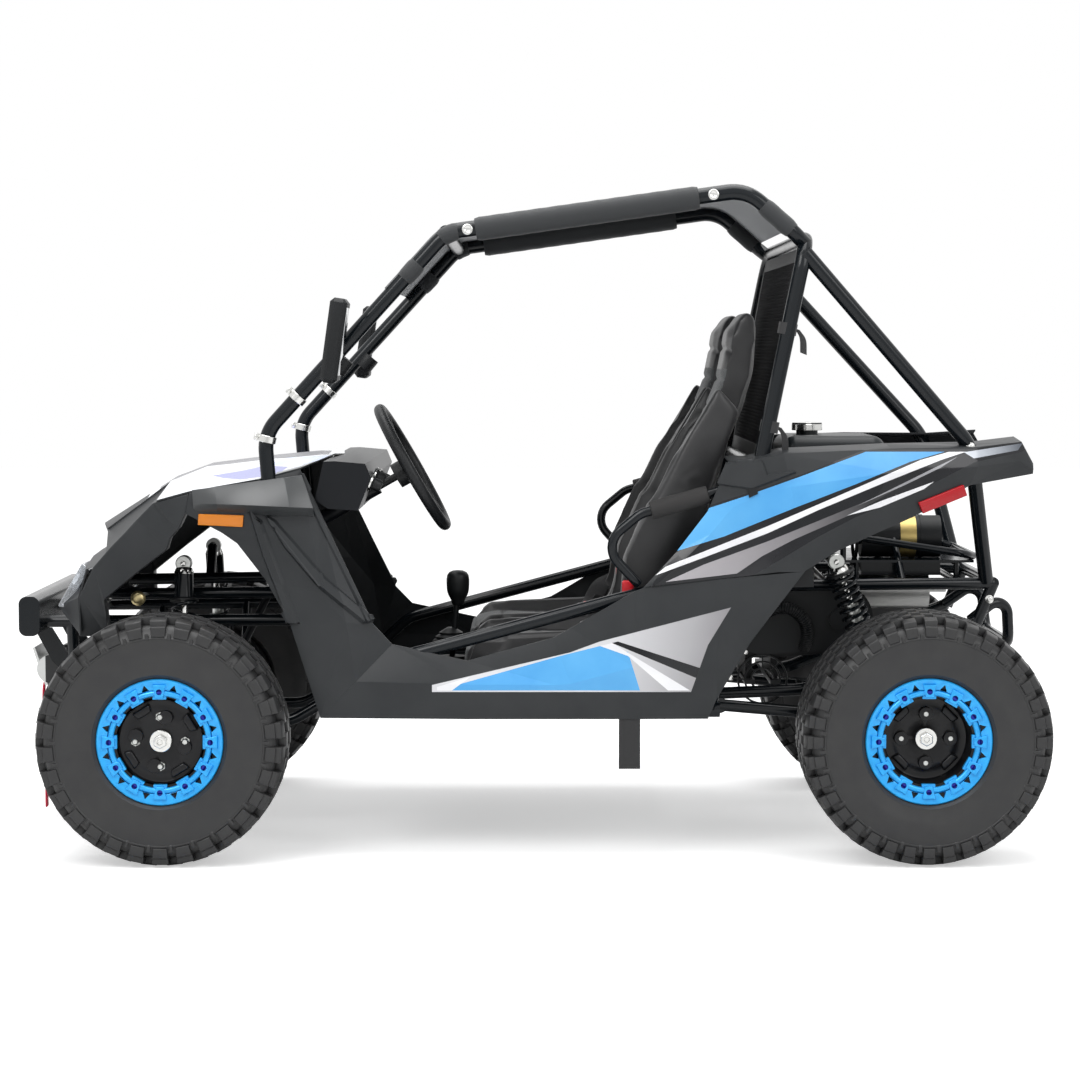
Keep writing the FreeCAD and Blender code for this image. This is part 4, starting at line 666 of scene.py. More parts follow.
def makeRing(face):
    outer = ringSettings["outer"]
    flange = turnedRing("flange", [(face - 0.012, 0.1165), (face - 0.0055, 0.1165), (face - 0.0045, 0.1185),
        (face - 0.0045, 0.1335), (face - 0.003, 0.136), (face - 0.003, 0.1385), (face - 0.0048, outer),
        (face - 0.01, outer), (face - 0.013, 0.138), (face - 0.013, 0.12)], 120)
    bpy.ops.mesh.primitive_cylinder_add(vertices=3, radius=0.0098, depth=0.05,
        location=(0, face - 0.008, 0.1215), rotation=(pi / 2, 0, 0))
    window = settle(bpy.context.object)
    window.data.transform(Matrix.Rotation(pi / ringSettings["bosses"], 4, "Y"))
    applied(window, "BEVEL", width=0.0012, segments=2)
    roundArray(window, ringSettings["bosses"], "windows")
    cutBy(flange, window)
    bpy.ops.mesh.primitive_torus_add(major_radius=ringSettings["bar"],
        minor_radius=ringSettings["barThick"], major_segments=120, minor_segments=14,
        rotation=(pi / 2, 0, 0), location=(0, face - 0.009, 0))
    ringBar = settle(bpy.context.object)
    boss = wedge(0.0985, 0.0175, 0.1275, 0.03, face - 0.013, face)
    bevelled(boss, 0.0018, 3)
    bpy.ops.mesh.primitive_cylinder_add(vertices=28, radius=ringSettings["hole"], depth=0.012,
        location=(0, face - 0.001, ringSettings["holeAt"]), rotation=(pi / 2, 0, 0))
    cutBy(boss, settle(bpy.context.object))
    foot = wedge(0.0945, 0.031, 0.104, 0.03, face - 0.02, face - 0.0075)
    bevelled(foot, 0.0016, 2)
    boss = joined("boss", [boss, foot])
    roundArray(boss, ringSettings["bosses"], "bosses")
    ring = joined("ring", [flange, ringBar, boss])
    recoat(ring, "ringBlue", "holeShadeBlue")
    # the walls of each boss's hole get the darker blue, as painted shade
    for item in ring.data.polygons:
        along, height = item.center.y, sqrt(item.center.x ** 2 + item.center.z ** 2)
        turn = (atan2(item.center.x, item.center.z) + pi / 12) % (pi / 6) - pi / 12
        nearHole = sqrt((height * sin(turn)) ** 2 + (height * cos(turn) - ringSettings["holeAt"]) ** 2)
        if nearHole < ringSettings["hole"] * 1.02 and along < face - 0.0008:
            item.material_index = 1
    return shadeBy(ring, 35)


def makeDish(rim, depth):
    # the barrel with its lips, the well and the dish face that the nuts clamp
    outline = [(rim - 0.013, 0.1385), (rim - 0.013, 0.124), (rim - 0.017, 0.115), (rim - 0.019, 0.0985),
        (rim - 0.03, 0.096), (depth + 0.008, 0.0945), (depth + 0.0015, 0.0915), (depth, 0.088),
        (depth, 0.072), (depth + 0.001, 0.07), (depth + 0.001, 0.042), (depth, 0.04), (depth, 0.021),
        (depth - 0.006, 0.021), (depth - 0.006, 0.09), (depth - 0.014, 0.1), (-rim * 0.3, 0.106),
        (-rim + 0.018, 0.123), (-rim + 0.006, 0.127), (-rim + 0.001, 0.139), (-rim - 0.002, 0.139),
        (-rim - 0.002, 0.13), (-rim + 0.016, 0.119), (-rim * 0.3, 0.102), (depth - 0.016, 0.104),
        (rim - 0.04, 0.106), (rim - 0.026, 0.123), (rim - 0.018, 0.127)]
    dish = turnedRing("dish", outline, 96)
    pocket = wedge(0.066, 0.034, 0.084, 0.046, depth - 0.0025, depth + 0.01)
    bevelled(pocket, 0.005, 3)
    pocket.data.transform(Matrix.Rotation(pi / 4, 4, "Y"))
    roundArray(pocket, 4, "pockets")
    cutBy(dish, pocket)
    bpy.ops.mesh.primitive_cylinder_add(vertices=32, radius=0.0155, depth=0.02,
        location=(0, depth + 0.0082, 0.055), rotation=(pi / 2, 0, 0))
    seat = settle(bpy.context.object)
    bevelled(seat, 0.0015, 2)
    roundArray(seat, 4, "nutSeats")
    cutBy(dish, seat)
    recoat(dish, "dishBlack")
    return shadeBy(dish, 32)


def placedWheel(piece, kind, right):
    x, y, z = wheelPlan[kind]["centre"]
    turn = Matrix.Rotation(pi, 4, "Z") if right else Matrix.Identity(4)
    return moved(piece, Matrix.Translation((x, -y if right else y, z)) @ turn)


def makeWheels():
    for kind in ("front", "rear"):
        plan = wheelPlan[kind]
        tyre = makeTyre(kind)
        dish = makeDish(plan["rim"], plan["dish"])
        ring = makeRing(plan["rim"])
        nutTurn = Matrix.Rotation(radians(32 if kind == "front" else 45), 4, "Y")
        dish.data.transform(nutTurn @ Matrix.Rotation(-pi / 4, 4, "Y"))
        for side, right in (("left", False), ("right", True)):
            body = "rear_axle" if kind == "rear" else "front_wheel_" + side
            tyrePiece = placedWheel(copyOf(tyre, kind + "Tyre" + side.title()), kind, right)
            finishPiece(tyrePiece, kind + "Tyre" + side.title(), smooth=40, body=body)
            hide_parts(kind + "_tyre_" + side)
            dishPiece = placedWheel(copyOf(dish, kind + "Dish" + side.title()), kind, right)
            finishPiece(dishPiece, kind + "Dish" + side.title(), smooth=32, body=body)
            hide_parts(kind + "_rim_" + side)
            ringPiece = placedWheel(copyOf(ring, kind + "Ring" + side.title()), kind, right)
            finishPiece(ringPiece, kind + "Ring" + side.title(), body=body)
        clearSelection()
        for item in (tyre, dish, ring):
            item.select_set(True)
        bpy.ops.object.delete()


makeWheels()
print("wheels built")


# Body panels: copies of the folded sheets with softened folds, and the printed stripes cut into them

def panelCopy(node, name, fold=0.0025, keep=6):
    source = nodes[node]
    panel = bpy.data.objects.new(name, source.data.copy())
    bpy.context.scene.collection.objects.link(panel)
    panel.data.name = name
    if panel.data.has_custom_normals:
        pick(panel)
        bpy.ops.mesh.customdata_custom_splitnormals_clear()
    merged(panel, 0.00003)
    editAll(panel)
    bpy.ops.mesh.dissolve_limited(angle_limit=radians(0.6))
    doneEditing()
    applied(panel, "BEVEL", width=fold, segments=3, limit_method="ANGLE", angle_limit=radians(keep),
        use_clamp_overlap=True, miter_outer="MITER_ARC")
    panel.data.materials.clear()
    return panel


def insideOutline(place, outline):
    crossed = False
    for (ax, ay), (bx, by) in zip(outline, outline[1:] + outline[:1]):
        if (ay > place[1]) != (by > place[1]):
            if place[0] < (bx - ax) * (place[1] - ay) / (by - ay) + ax:
                crossed = not crossed
    return crossed


def printOn(panel, outline, finish, view="side", facing=0.05):
    # cuts an outline into a panel, seen from the camera or from above, and gives its inside a finish
    if finish.name not in [item.name for item in panel.data.materials]:
        panel.data.materials.append(finish)
    slotNumber = [item.name for item in panel.data.materials].index(finish.name)

    def flat(point):
        return pixelOf(point) if view == "side" else (point.x, point.y)

    def seen(face):
        if view == "side":
            sight = cameraPlace - face.center
            return face.normal.dot(sight) > facing * sight.length
        return face.normal.z > facing

    pad = 1.0 if view == "side" else 0.003
    for start, end in zip(outline, outline[1:] + outline[:1]):
        low = (min(start[0], end[0]) - pad, min(start[1], end[1]) - pad)
        high = (max(start[0], end[0]) + pad, max(start[1], end[1]) + pad)
        marks = [flat(vertex.co) for vertex in panel.data.vertices]

        def touched(face):
            if not seen(face):
                return False
            xs = [marks[index][0] for index in face.vertices]
            ys = [marks[index][1] for index in face.vertices]
            return min(xs) < high[0] and max(xs) > low[0] and min(ys) < high[1] and max(ys) > low[1]

        selectFaces(panel, touched)
        if view == "side":
            place = cameraPlace
            normal = sightLine(start).cross(sightLine(end))
        else:
            place = Vector((start[0], start[1], 0))
            normal = Vector((end[1] - start[1], start[0] - end[0], 0))
        if any(face.select for face in panel.data.polygons):
            bpy.ops.mesh.bisect(plane_co=place, plane_no=normal.normalized())
        doneEditing()
    for face in panel.data.polygons:
        if seen(face) and insideOutline(flat(face.center), outline):
            face.material_index = slotNumber
    return panel


def mirrorPanel(panel, node, name, body="chassis"):
    other = mirrored(panel, name)
    finishPiece(other, name, smooth=30, body=body)
    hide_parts(node)
    return other


def onPanel(pixel, panel):
    way = sightLine(pixel).normalized()
    hit, place, normal, index = panel.ray_cast(cameraPlace, way)
    if not hit:
        raise RuntimeError("no panel at pixel %s" % (pixel,))
    return place, normal


def plateOn(name, pixels, panel, thick, finish, edge=0.0012, sink=0.0006):
    # a thin moulded plate laid on a panel, with its corners given as seen in the photo
    middle = (sum(pixel[0] for pixel in pixels) / len(pixels), sum(pixel[1]
        for pixel in pixels) / len(pixels))
    place, normal = onPanel(middle, panel)
    bpy.ops.mesh.primitive_circle_add(vertices=len(pixels), radius=0.1, fill_type="NGON")
    plate = bpy.context.object
    for vertex, pixel in zip(plate.data.vertices, pixels):
        way = sightLine(pixel)
        reach = (place - cameraPlace).dot(normal) / way.dot(normal)
        vertex.co = cameraPlace + way * reach - normal * sink
    if plate.data.polygons[0].normal.dot(normal) < 0:
        editAll(plate)
        bpy.ops.mesh.flip_normals()
        doneEditing()
    applied(plate, "SOLIDIFY", thickness=thick, offset=1)
    bevelled(plate, edge, 3, 40)
    plate.name = name
    plate.data.materials.clear()
    plate.data.materials.append(finish)
    return plate


def fadeFinish(name, start, end, first, second, roughness=0.28):
    finish = newFinish(name, first, roughness, Coat_Weight=0.5)
    fadeAlong(finish, start, end, first, second, 0.55)
    return finish


def raiseOn(panel, outline, height, slope):
    # lifts or sinks an outlined patch of a panel, with sloping sides
    patch = finishes["charcoalPlastic"].copy()
    patch.name = "reliefMark"
    printOn(panel, outline, patch)
    slotNumber = [item.name for item in panel.data.materials].index(patch.name)
    selectFaces(panel, lambda face: face.material_index == slotNumber)
    bpy.ops.mesh.inset(thickness=slope, depth=height, use_even_offset=True)
    doneEditing()
    for face in panel.data.polygons:
        if face.material_index == slotNumber:
            face.material_index = 0
    panel.data.materials.pop(index=slotNumber)
    bpy.data.materials.remove(patch)
    return panel


# The rear fender's print: a black ground, a blue band, a white stripe and a silver fade
rearPrint = {
    "braceFoot": [(717, 485), (728, 462), (763, 460), (768, 474), (793, 470), (797, 473), (752, 490)],
    "ground": [(651, 587), (672, 552), (701, 508), (746, 493.5), (803, 473.8), (865.5, 449.6), (970, 449.3),
        (1019, 441.5), (1028, 447), (1022, 452), (975, 462), (938, 481), (893, 502), (856, 517), (818, 537),
        (780, 560), (752, 576)],
    "blue": [(675.7, 551.4), (703.8, 509.8), (747, 495.6), (803, 475.7), (866, 451.7), (944.8, 451.7),
        (910.4, 461.7), (855.6, 484.3), (793, 508.6), (724, 536.5)],
    "white": [(655.3, 575.4), (665.5, 566.8), (767.6, 526.2), (856.8, 487.9), (920.6, 460), (948.7, 451.9),
        (966, 451.7), (941, 460), (882.3, 483.5), (818.6, 510), (767.6, 533.3), (703.8, 557.6)],
    "silver": [(665.5, 582), (703.8, 564.6), (767.6, 541.4), (818.6, 520.8), (856.8, 505), (900, 487),
        (872, 503), (856.8, 512), (793, 540), (762.4, 556), (737, 573.5)],
    "slashHigh": [(856, 506.4), (884.9, 492.4), (930, 470), (958, 456.5), (940, 468), (905, 485)],
    "slashLow": [(847, 515.6), (880, 501.4), (934, 481.6), (924, 489), (880, 507.5)],
    "tail": [(964, 452.2), (1022.7, 443.2), (1018, 450.2), (974, 458.4)],
}


def makeRearFenders():
    panel = panelCopy("rear_fender_left", "rearFenderLeft")
    coat(panel, "charcoalPlastic")
    raiseOn(panel, rearPrint["braceFoot"], 0.006, 0.004)
    silverFade = fadeFinish("silverFade", (-0.33, 0.57, 0.63), (-0.78, 0.53, 0.8), (0.42, 0.4, 0.42),
        (0.01, 0.01, 0.012))
    tailFade = fadeFinish("tailFade", (-0.98, 0.42, 0.91), (-1.15, 0.36, 0.93), (0.62, 0.66, 0.72),
        (0.05, 0.06, 0.08))
    for key, finish in (("ground", finishes["printBlack"]), ("blue", finishes["printBlue"]),
            ("silver", silverFade), ("white", finishes["printWhite"]), ("slashHigh", finishes["printGrey"]),
            ("slashLow", finishes["printWhite"]), ("tail", tailFade)):
        printOn(panel, rearPrint[key], finish)
    red = plateOn("redReflectorLeft", [(918, 502.5), (962.5, 484.5), (966, 495), (922, 513)], panel, 0.007,
        finishes["redLens"])
    clip = plateOn("fenderClipLeft", [(747, 486), (756, 482), (758, 494), (749, 498)], panel, 0.005,
        finishes["moulded"])
    finishPiece(panel, "rearFenderLeft", smooth=30)
    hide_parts("rear_fender_left")
    mirrorPanel(panel, "rear_fender_right", "rearFenderRight")
    for item, slotName in ((red, "lens"), (clip, "panel_black")):
        other = mirrored(item, item.name.replace("Left", "Right"))
        finishPiece(item, item.name, smooth=40)
        finishPiece(other, other.name, smooth=40)


# The sill panel's print: a blue triangle low at the front, white stripes and a silver fade behind
sillPrint = {
    "fade": [(432, 685), (570, 652.5), (600, 641.5), (731, 607.5), (708, 645), (691, 692), (432, 692)],
    "blue": [(437, 690.5), (560, 656), (600, 646), (628, 652), (640, 690.5)],
    "whiteUpper": [(600, 646), (612, 643), (690, 690.5), (668, 690.5), (628, 656)],
    "whiteLower": [(437, 687), (470, 677), (452, 690.5), (437, 690.5)],
    "black": [(612, 643), (618, 641.5), (700, 668), (696, 678)],
}


def makeSillPanels():
    panel = panelCopy("sill_panel_left", "sillPanelLeft")
    coat(panel, "charcoalPlastic")
    sillFade = fadeFinish("sillFade", (-0.2, 0.56, 0.5), (-0.5, 0.55, 0.44), (0.62, 0.62, 0.64),
        (0.14, 0.13, 0.14))
    for key, finish in (("fade", sillFade), ("blue", finishes["printBlue"]),
            ("whiteUpper", finishes["printWhite"]), ("whiteLower", finishes["printWhite"]),
            ("black", finishes["printBlack"])):
        printOn(panel, sillPrint[key], finish)
    flapTop = (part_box("sill_panel_left")[0].z + 0.113)
    coat(panel, "webbing")
    for face in panel.data.polygons:
        if face.center.z < flapTop and -0.27 < face.center.x < -0.21:
            face.material_index = len(panel.data.materials) - 1
    finishPiece(panel, "sillPanelLeft", smooth=30)
    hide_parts("sill_panel_left")
    mirrorPanel(panel, "sill_panel_right", "sillPanelRight")


# Folds pressed into the side panel: two ridges that fan out from behind the lamp, and a lip
sideFolds = {
    "ridgeFront": [(248, 511), (262, 520), (300, 624), (288, 624), (262, 556)],
    "ridgeRear": [(262, 512), (276, 520), (326, 577), (378, 622), (362, 624), (318, 588), (284, 548)],
    "lip": [(305, 470), (311, 494), (372, 622), (366, 622), (306, 498), (301, 474)],
}


def makeSidePanels():
    panel = panelCopy("side_panel_left", "sidePanelLeft")
    coat(panel, "charcoalPlastic")
    for key, height in (("ridgeFront", 0.008), ("ridgeRear", 0.009), ("lip", 0.0045)):
        raiseOn(panel, sideFolds[key], height, 0.0065 if key != "lip" else 0.003)
    amber = plateOn("amberReflectorLeft", [(199, 513.7), (243.8, 515), (243, 526.6), (198.4, 524.5)], panel,
        0.006, finishes["amberLens"])
    finishPiece(panel, "sidePanelLeft", smooth=30)
    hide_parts("side_panel_left")
    mirrorPanel(panel, "side_panel_right", "sidePanelRight")
    other = mirrored(amber, "amberReflectorRight")
    finishPiece(amber, "amberReflectorLeft", smooth=40)
    finishPiece(other, "amberReflectorRight", smooth=40)
    fender = panelCopy("front_fender_left", "frontFenderLeft")
    coat(fender, "charcoalPlastic")
    finishPiece(fender, "frontFenderLeft", smooth=30)
    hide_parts("front_fender_left")
    mirrorPanel(fender, "front_fender_right", "frontFenderRight")


# The hood, seen from above: white, with a grey hump, violet patches by the pillars and a black rear edge
hoodPrint = {
    "hump": [(0.88, 0.0), (0.868, 0.115), (0.7, 0.15), (0.56, 0.13), (0.47, 0.1), (0.47, 0.0)],
    "violet": [(0.72, 0.3), (0.64, 0.44), (0.56, 0.47), (0.54, 0.33), (0.6, 0.26)],
    "blue": [(0.6, 0.25), (0.52, 0.33), (0.44, 0.33), (0.44, 0.2), (0.56, 0.16)],
    "rear": [(0.56, 0.4), (0.56, 0.49), (0.43, 0.49), (0.43, 0.36)],
    "nose": [(1.03, 0.0), (1.03, 0.2), (0.94, 0.2), (0.905, 0.06), (0.905, 0.0)],
}


def makeHood():
    panel = panelCopy("hood", "hoodPanel")
    coat(panel, "hoodWhite")
    for key, finish in (("hump", finishes["hoodGrey"]), ("violet", finishes["printViolet"]),
            ("blue", finishes["printPale"]), ("rear", finishes["printBlack"]),
            ("nose", finishes["charcoalPlastic"])):
        outline = hoodPrint[key]
        for side in (1, -1):
            printOn(panel, [(x, y * side) for x, y in outline], finish, "top", 0.02)
    under = len(panel.data.materials)
    coat(panel, "charcoalPlastic")
    for face in panel.data.polygons:
        if face.normal.z < 0.02:
            face.material_index = under
    finishPiece(panel, "hoodPanel", smooth=30)
    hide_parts("hood")
    nose = panelCopy("nose_panel", "nosePanel")
    coat(nose, "charcoalPlastic")
    finishPiece(nose, "nosePanel", smooth=30)
    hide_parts("nose_panel")


# A raised rail on the side panel's top edge: a bevel that widens to the rear, painted a lighter charcoal
# for the sheen it catches from above
topRail = {
    "upper": [(192, 490.5), (215, 487.5), (240, 484), (262, 481), (284, 478), (302, 475.5)],
    "crease": [(193, 503), (217, 504), (243, 505), (267, 506), (290, 507), (313, 508)],
    "stand": [0.003, 0.016, 0.03, 0.04, 0.04, 0.024],
    "lean": 0.55,
}


def makeTopRails():
    panel = bpy.data.objects["sidePanelLeft"]
    stations = len(topRail["upper"])
    places = []
    for high, low, stand in zip(topRail["upper"], topRail["crease"], topRail["stand"]):
        below = (low[0] + 1, low[1] + 9)
        rows = []
        for pixel, out in ((high, -0.006), (high, stand * topRail["lean"]), (low, stand), (below, -0.004)):
            way = sightLine((pixel[0], pixel[1] + 3)).normalized()
            hit, place, normal, index = panel.ray_cast(cameraPlace, way)
            if not hit:
                hit, place, normal, index = panel.closest_point_on_mesh(cameraPlace
                    + way * ((0.5 - cameraPlace.y) / way.y))
            reach = place.y + out
            sight = sightLine(pixel)
            rows.append(cameraPlace + sight * ((reach - cameraPlace.y) / sight.y))
        places.append(rows)
    bpy.ops.mesh.primitive_grid_add(x_subdivisions=stations - 1, y_subdivisions=3, size=1)
    rail = bpy.context.object
    for vertex in rail.data.vertices:
        step = round((vertex.co.x + 0.5) * (stations - 1))
        row = round((0.5 - vertex.co.y) * 3)
        vertex.co = places[step][row]
    applied(rail, "SOLIDIFY", thickness=0.0025, offset=0)
    outwards(rail)
    bevelled(rail, 0.0022, 3, 12)
    other = mirrored(rail, "topRailRight")
    finishPiece(rail, "topRailLeft", "charcoalEdgeSheen", 25)
    finishPiece(other, "topRailRight", "charcoalEdgeSheen", 25)


makeRearFenders()
makeSillPanels()
makeSidePanels()
makeTopRails()
makeHood()
print("panels built")


# Finishes of the pieces that keep their solid shape

def dress(node, finish):
    target = nodes[node]
    target.data.materials.clear()
    target.data.materials.append(finish)


solidFinishes = {
    "glossTubePaint": ["roll_cage", "floor_frame", "front_frame", "front_crossbars", "rear_frame",
        "rear_rack", "swing_arm", "front_arms", "front_bumper"],
    "plateBlack": ["floor_pan", "steering_column", "dash_panel"],
    "zincSteel": ["tie_rods", "front_shocks", "rear_shocks", "rear_axle", "front_hub_left",
        "front_hub_right"],
    "castAlloy": ["knuckle_left", "knuckle_right"],
    "moulded": ["mirrors", "controls", "air_cleaner", "engine"],
    "gripLeather": ["steering_wheel"],
    "armFoam": ["armrest_pads"],
    "seatVinyl": ["seat_left", "seat_right"],
    "topCloth": ["roof_cover"],
    "netCord": ["mesh_panel"],
    "tankPlastic": ["fuel_tank"],
    "lampClear": ["headlights"],
}
for finishName, members in solidFinishes.items():
    for member in members:
        dress(member, finishes[finishName])
muffler = newFinish("brushedSteel", (0.52, 0.52, 0.51), 0.32, 1.0)
addGrain(muffler, 300, 0.2, 0.0004, stretch=(0.05, 1, 1))
finishes["brushedSteel"] = muffler
dress("exhaust", muffler)


def splitFinish(name, axis, level, first, second, firstMetal, secondMetal, roughness):
    # one node in two finishes, parted at a place along an axis
    finish = newFinish(name, first, roughness)
    split = addNode(finish, "ShaderNodeSeparateXYZ")
    wire(finish, objectPlace(finish), "Vector", split, "Vector")
    step = addNode(finish, "ShaderNodeMapRange")
    step.inputs["From Min"].default_value = level - 0.0005
    step.inputs["From Max"].default_value = level + 0.0005
    wire(finish, split, axis, step, "Value")
    ramp = addNode(finish, "ShaderNodeValToRGB")
    ramp.color_ramp.elements[0].color = (*first, 1)
    ramp.color_ramp.elements[1].color = (*second, 1)
    wire(finish, step, "Result", ramp, "Fac")
    wire(finish, ramp, "Color", shaderOf(finish), "Base Color")
    metal = addNode(finish, "ShaderNodeMapRange")
    metal.inputs["To Min"].default_value = firstMetal
    metal.inputs["To Max"].default_value = secondMetal
    wire(finish, step, "Result", metal, "Value")
    wire(finish, metal, "Result", shaderOf(finish), "Metallic")
    return finish


dress("winch", splitFinish("winchFinish", "X", 1.1385, (0.008, 0.009, 0.01), (0.62, 0.63, 0.62), 0.0, 1.0,
    0.3))
print("solids dressed")


# Seats: the bucket's body is padded and swollen by cloth pressure, then its seams are drawn in

seatSettings = {"voxel": 0.009, "start": 0.007, "pressure": 4.0, "cap": 0.011, "frames": 20,
    "middle": 0.235, "insert": 0.15, "seamDepth": 0.006, "seamWidth": 0.007, "channelPitch": 0.085,
    "beltWidth": 0.046}


def swollen(piece, pressure, cap, frames):
    # blows a closed cover up by a little, and keeps each point within the cap
    before = [vertex.co.copy() for vertex in piece.data.vertices]
    pick(piece)
    cover = piece.modifiers.new("cover", "CLOTH")
    cover.settings.use_pressure = True
    cover.settings.uniform_pressure_force = pressure
    cover.settings.effector_weights.gravity = 0
    cover.settings.mass = 0.3
    cover.settings.quality = 4
    cover.settings.tension_stiffness = 18
    cover.settings.compression_stiffness = 18
    cover.settings.bending_stiffness = 3
    cover.point_cache.frame_start = 1
    cover.point_cache.frame_end = frames
    for step in range(1, frames + 1):
        bpy.context.scene.frame_set(step)
    bpy.ops.object.modifier_apply(modifier=cover.name)
    bpy.context.scene.frame_set(1)
    for vertex, place in zip(piece.data.vertices, before):
        shift = vertex.co - place
        if shift.length > cap:
            vertex.co = place + shift * (cap / shift.length)
    return piece


def drawSeams(piece, centre):
    # long seams beside the insert and cross channels over it
    depth, width = seatSettings["seamDepth"], seatSettings["seamWidth"]
    normals = [vertex.normal.copy() for vertex in piece.data.vertices]
    for vertex, normal in zip(piece.data.vertices, normals):
        across = abs(vertex.co.y - centre)
        facing = normal.x * 0.75 + normal.z * 0.65
        if facing < 0.35 or vertex.co.z > 1.16:
            continue
        pull = exp(-((across - seatSettings["insert"]) / width) ** 2)
        if across < seatSettings["insert"]:
            run = vertex.co.z - vertex.co.x
            phase = run / seatSettings["channelPitch"]
            gap = abs(phase - round(phase)) * seatSettings["channelPitch"]
            pull = max(pull, 0.8 * exp(-(gap / width) ** 2))
        vertex.co -= normal * (depth * pull)
    return piece


def roundTips(piece, centre):
    # rounds off the tops of the bolsters and of the head rest
    editAll(piece, "VERT")
    bpy.ops.mesh.select_all(action="DESELECT")
    doneEditing()
    for vertex in piece.data.vertices:
        wing = abs(vertex.co.y - centre) > 0.14 and vertex.co.z > 0.8
        vertex.select = wing or vertex.co.z > 1.19
    bpy.ops.object.mode_set(mode="EDIT")
    bpy.ops.mesh.vertices_smooth(factor=0.5, repeat=30)
    doneEditing()
    return piece


def makeSeats():
    source = nodes["seat_left"]
    seat = bpy.data.objects.new("seatLeft", source.data.copy())
    bpy.context.scene.collection.objects.link(seat)
    pick(seat)
    if seat.data.has_custom_normals:
        bpy.ops.mesh.customdata_custom_splitnormals_clear()
    merged(seat, 0.0001)
    applied(seat, "REMESH", mode="VOXEL", voxel_size=seatSettings["voxel"])
    editAll(seat, "VERT")
    bpy.ops.mesh.vertices_smooth(factor=0.5, repeat=5)
    bpy.ops.transform.shrink_fatten(value=-seatSettings["start"])
    doneEditing()
    roundTips(seat, seatSettings["middle"])
    swollen(seat, seatSettings["pressure"], seatSettings["cap"], seatSettings["frames"])
    applied(seat, "SUBSURF", levels=1, render_levels=1)
    drawSeams(seat, seatSettings["middle"])
    seat.data.materials.clear()
    for finish in (finishes["seatVinyl"], finishes["seatCloth"]):
        seat.data.materials.append(finish)
    for face in seat.data.polygons:
        facing = face.normal.x * 0.75 + face.normal.z * 0.65
        inner = abs(face.center.y - seatSettings["middle"]) < seatSettings["insert"]
        face.material_index = 1 if inner and facing > 0.35 and face.center.z < 1.1 else 0
    other = mirrored(seat, "seatRight")
    for piece, node in ((seat, "seat_left"), (other, "seat_right")):
        finishPiece(piece, piece.name, smooth=80)
        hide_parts(node)


def strap(name, points, width, thick, finish, across=(0, 1, 0), count=40):
    # flat webbing along a path, with its width laid along one direction
    path = smoothPath(points, count)
    across = Vector(across).normalized()
    bpy.ops.mesh.primitive_grid_add(x_subdivisions=count - 1, y_subdivisions=4, size=1)
    ribbon = bpy.context.object
    for vertex in ribbon.data.vertices:
        step = round((vertex.co.x + 0.5) * (count - 1))
        vertex.co = path[step] + across * (vertex.co.y * width)
    applied(ribbon, "SOLIDIFY", thickness=thick, offset=0)
    bevelled(ribbon, thick * 0.3, 2, 50)
    outwards(ribbon)
    ribbon.name = name
    ribbon.data.materials.clear()
    ribbon.data.materials.append(finish)
    return ribbon


def makeBelts():
    # a shoulder strap down each seat back, a lap strap, and a red release buckle beside the cushion
    for side, word in ((1, "Left"), (-1, "Right")):
        for shift, tag in ((-0.085, "Inner"), (0.085, "Outer")):
            y = side * (seatSettings["middle"] + shift)
            route = [(-0.47, y, 1.045), (-0.42, y, 0.985), (-0.35, y, 0.86), (-0.268, y, 0.665),
                (-0.225, y, 0.52), (-0.2, y * 0.97, 0.478)]
            belt = strap("shoulderBelt" + tag + word, route, seatSettings["beltWidth"], 0.0022,
                finishes["webbing"])
            finishPiece(belt, belt.name, smooth=40)
        lap = [(-0.24, side * 0.44, 0.56), (-0.2, side * 0.405, 0.54), (-0.17, side * 0.35, 0.492),
            (-0.16, side * 0.235, 0.482), (-0.17, side * 0.12, 0.492), (-0.2, side * 0.066, 0.54)]
        belt = strap("lapBelt" + word, lap, seatSettings["beltWidth"], 0.0022, finishes["webbing"],
            (1, 0, 0.25))
        finishPiece(belt, belt.name, smooth=40)
        body = brick((-0.196, side * 0.235 - 0.034, 0.486), (-0.134, side * 0.235 + 0.034, 0.506))
        applied(body, "BEVEL", width=0.006, segments=3)
        coat(body, "moulded")
        button = brick((-0.18, side * 0.235 - 0.022, 0.502), (-0.15, side * 0.235 + 0.022, 0.511))
        applied(button, "BEVEL", width=0.004, segments=3)
        coat(button, "buckleRed")
        outer = 0.452 if side > 0 else -0.022
        catch = brick((-0.252, outer - 0.008, 0.56), (-0.226, outer + 0.01, 0.622))
        applied(catch, "BEVEL", width=0.005, segments=3)
        coat(catch, "buckleRed")
        finishPiece([body, button, catch], "beltBuckle" + word, smooth=40)


makeSeats()
makeBelts()
print("seats built")


# Foam sleeves on the armrest loops

armSettings = {"rear": (-0.415, 0.527, 0.8206), "front": (-0.29, 0.527, 0.7851), "radius": 0.0208,
    "hole": 0.0115}


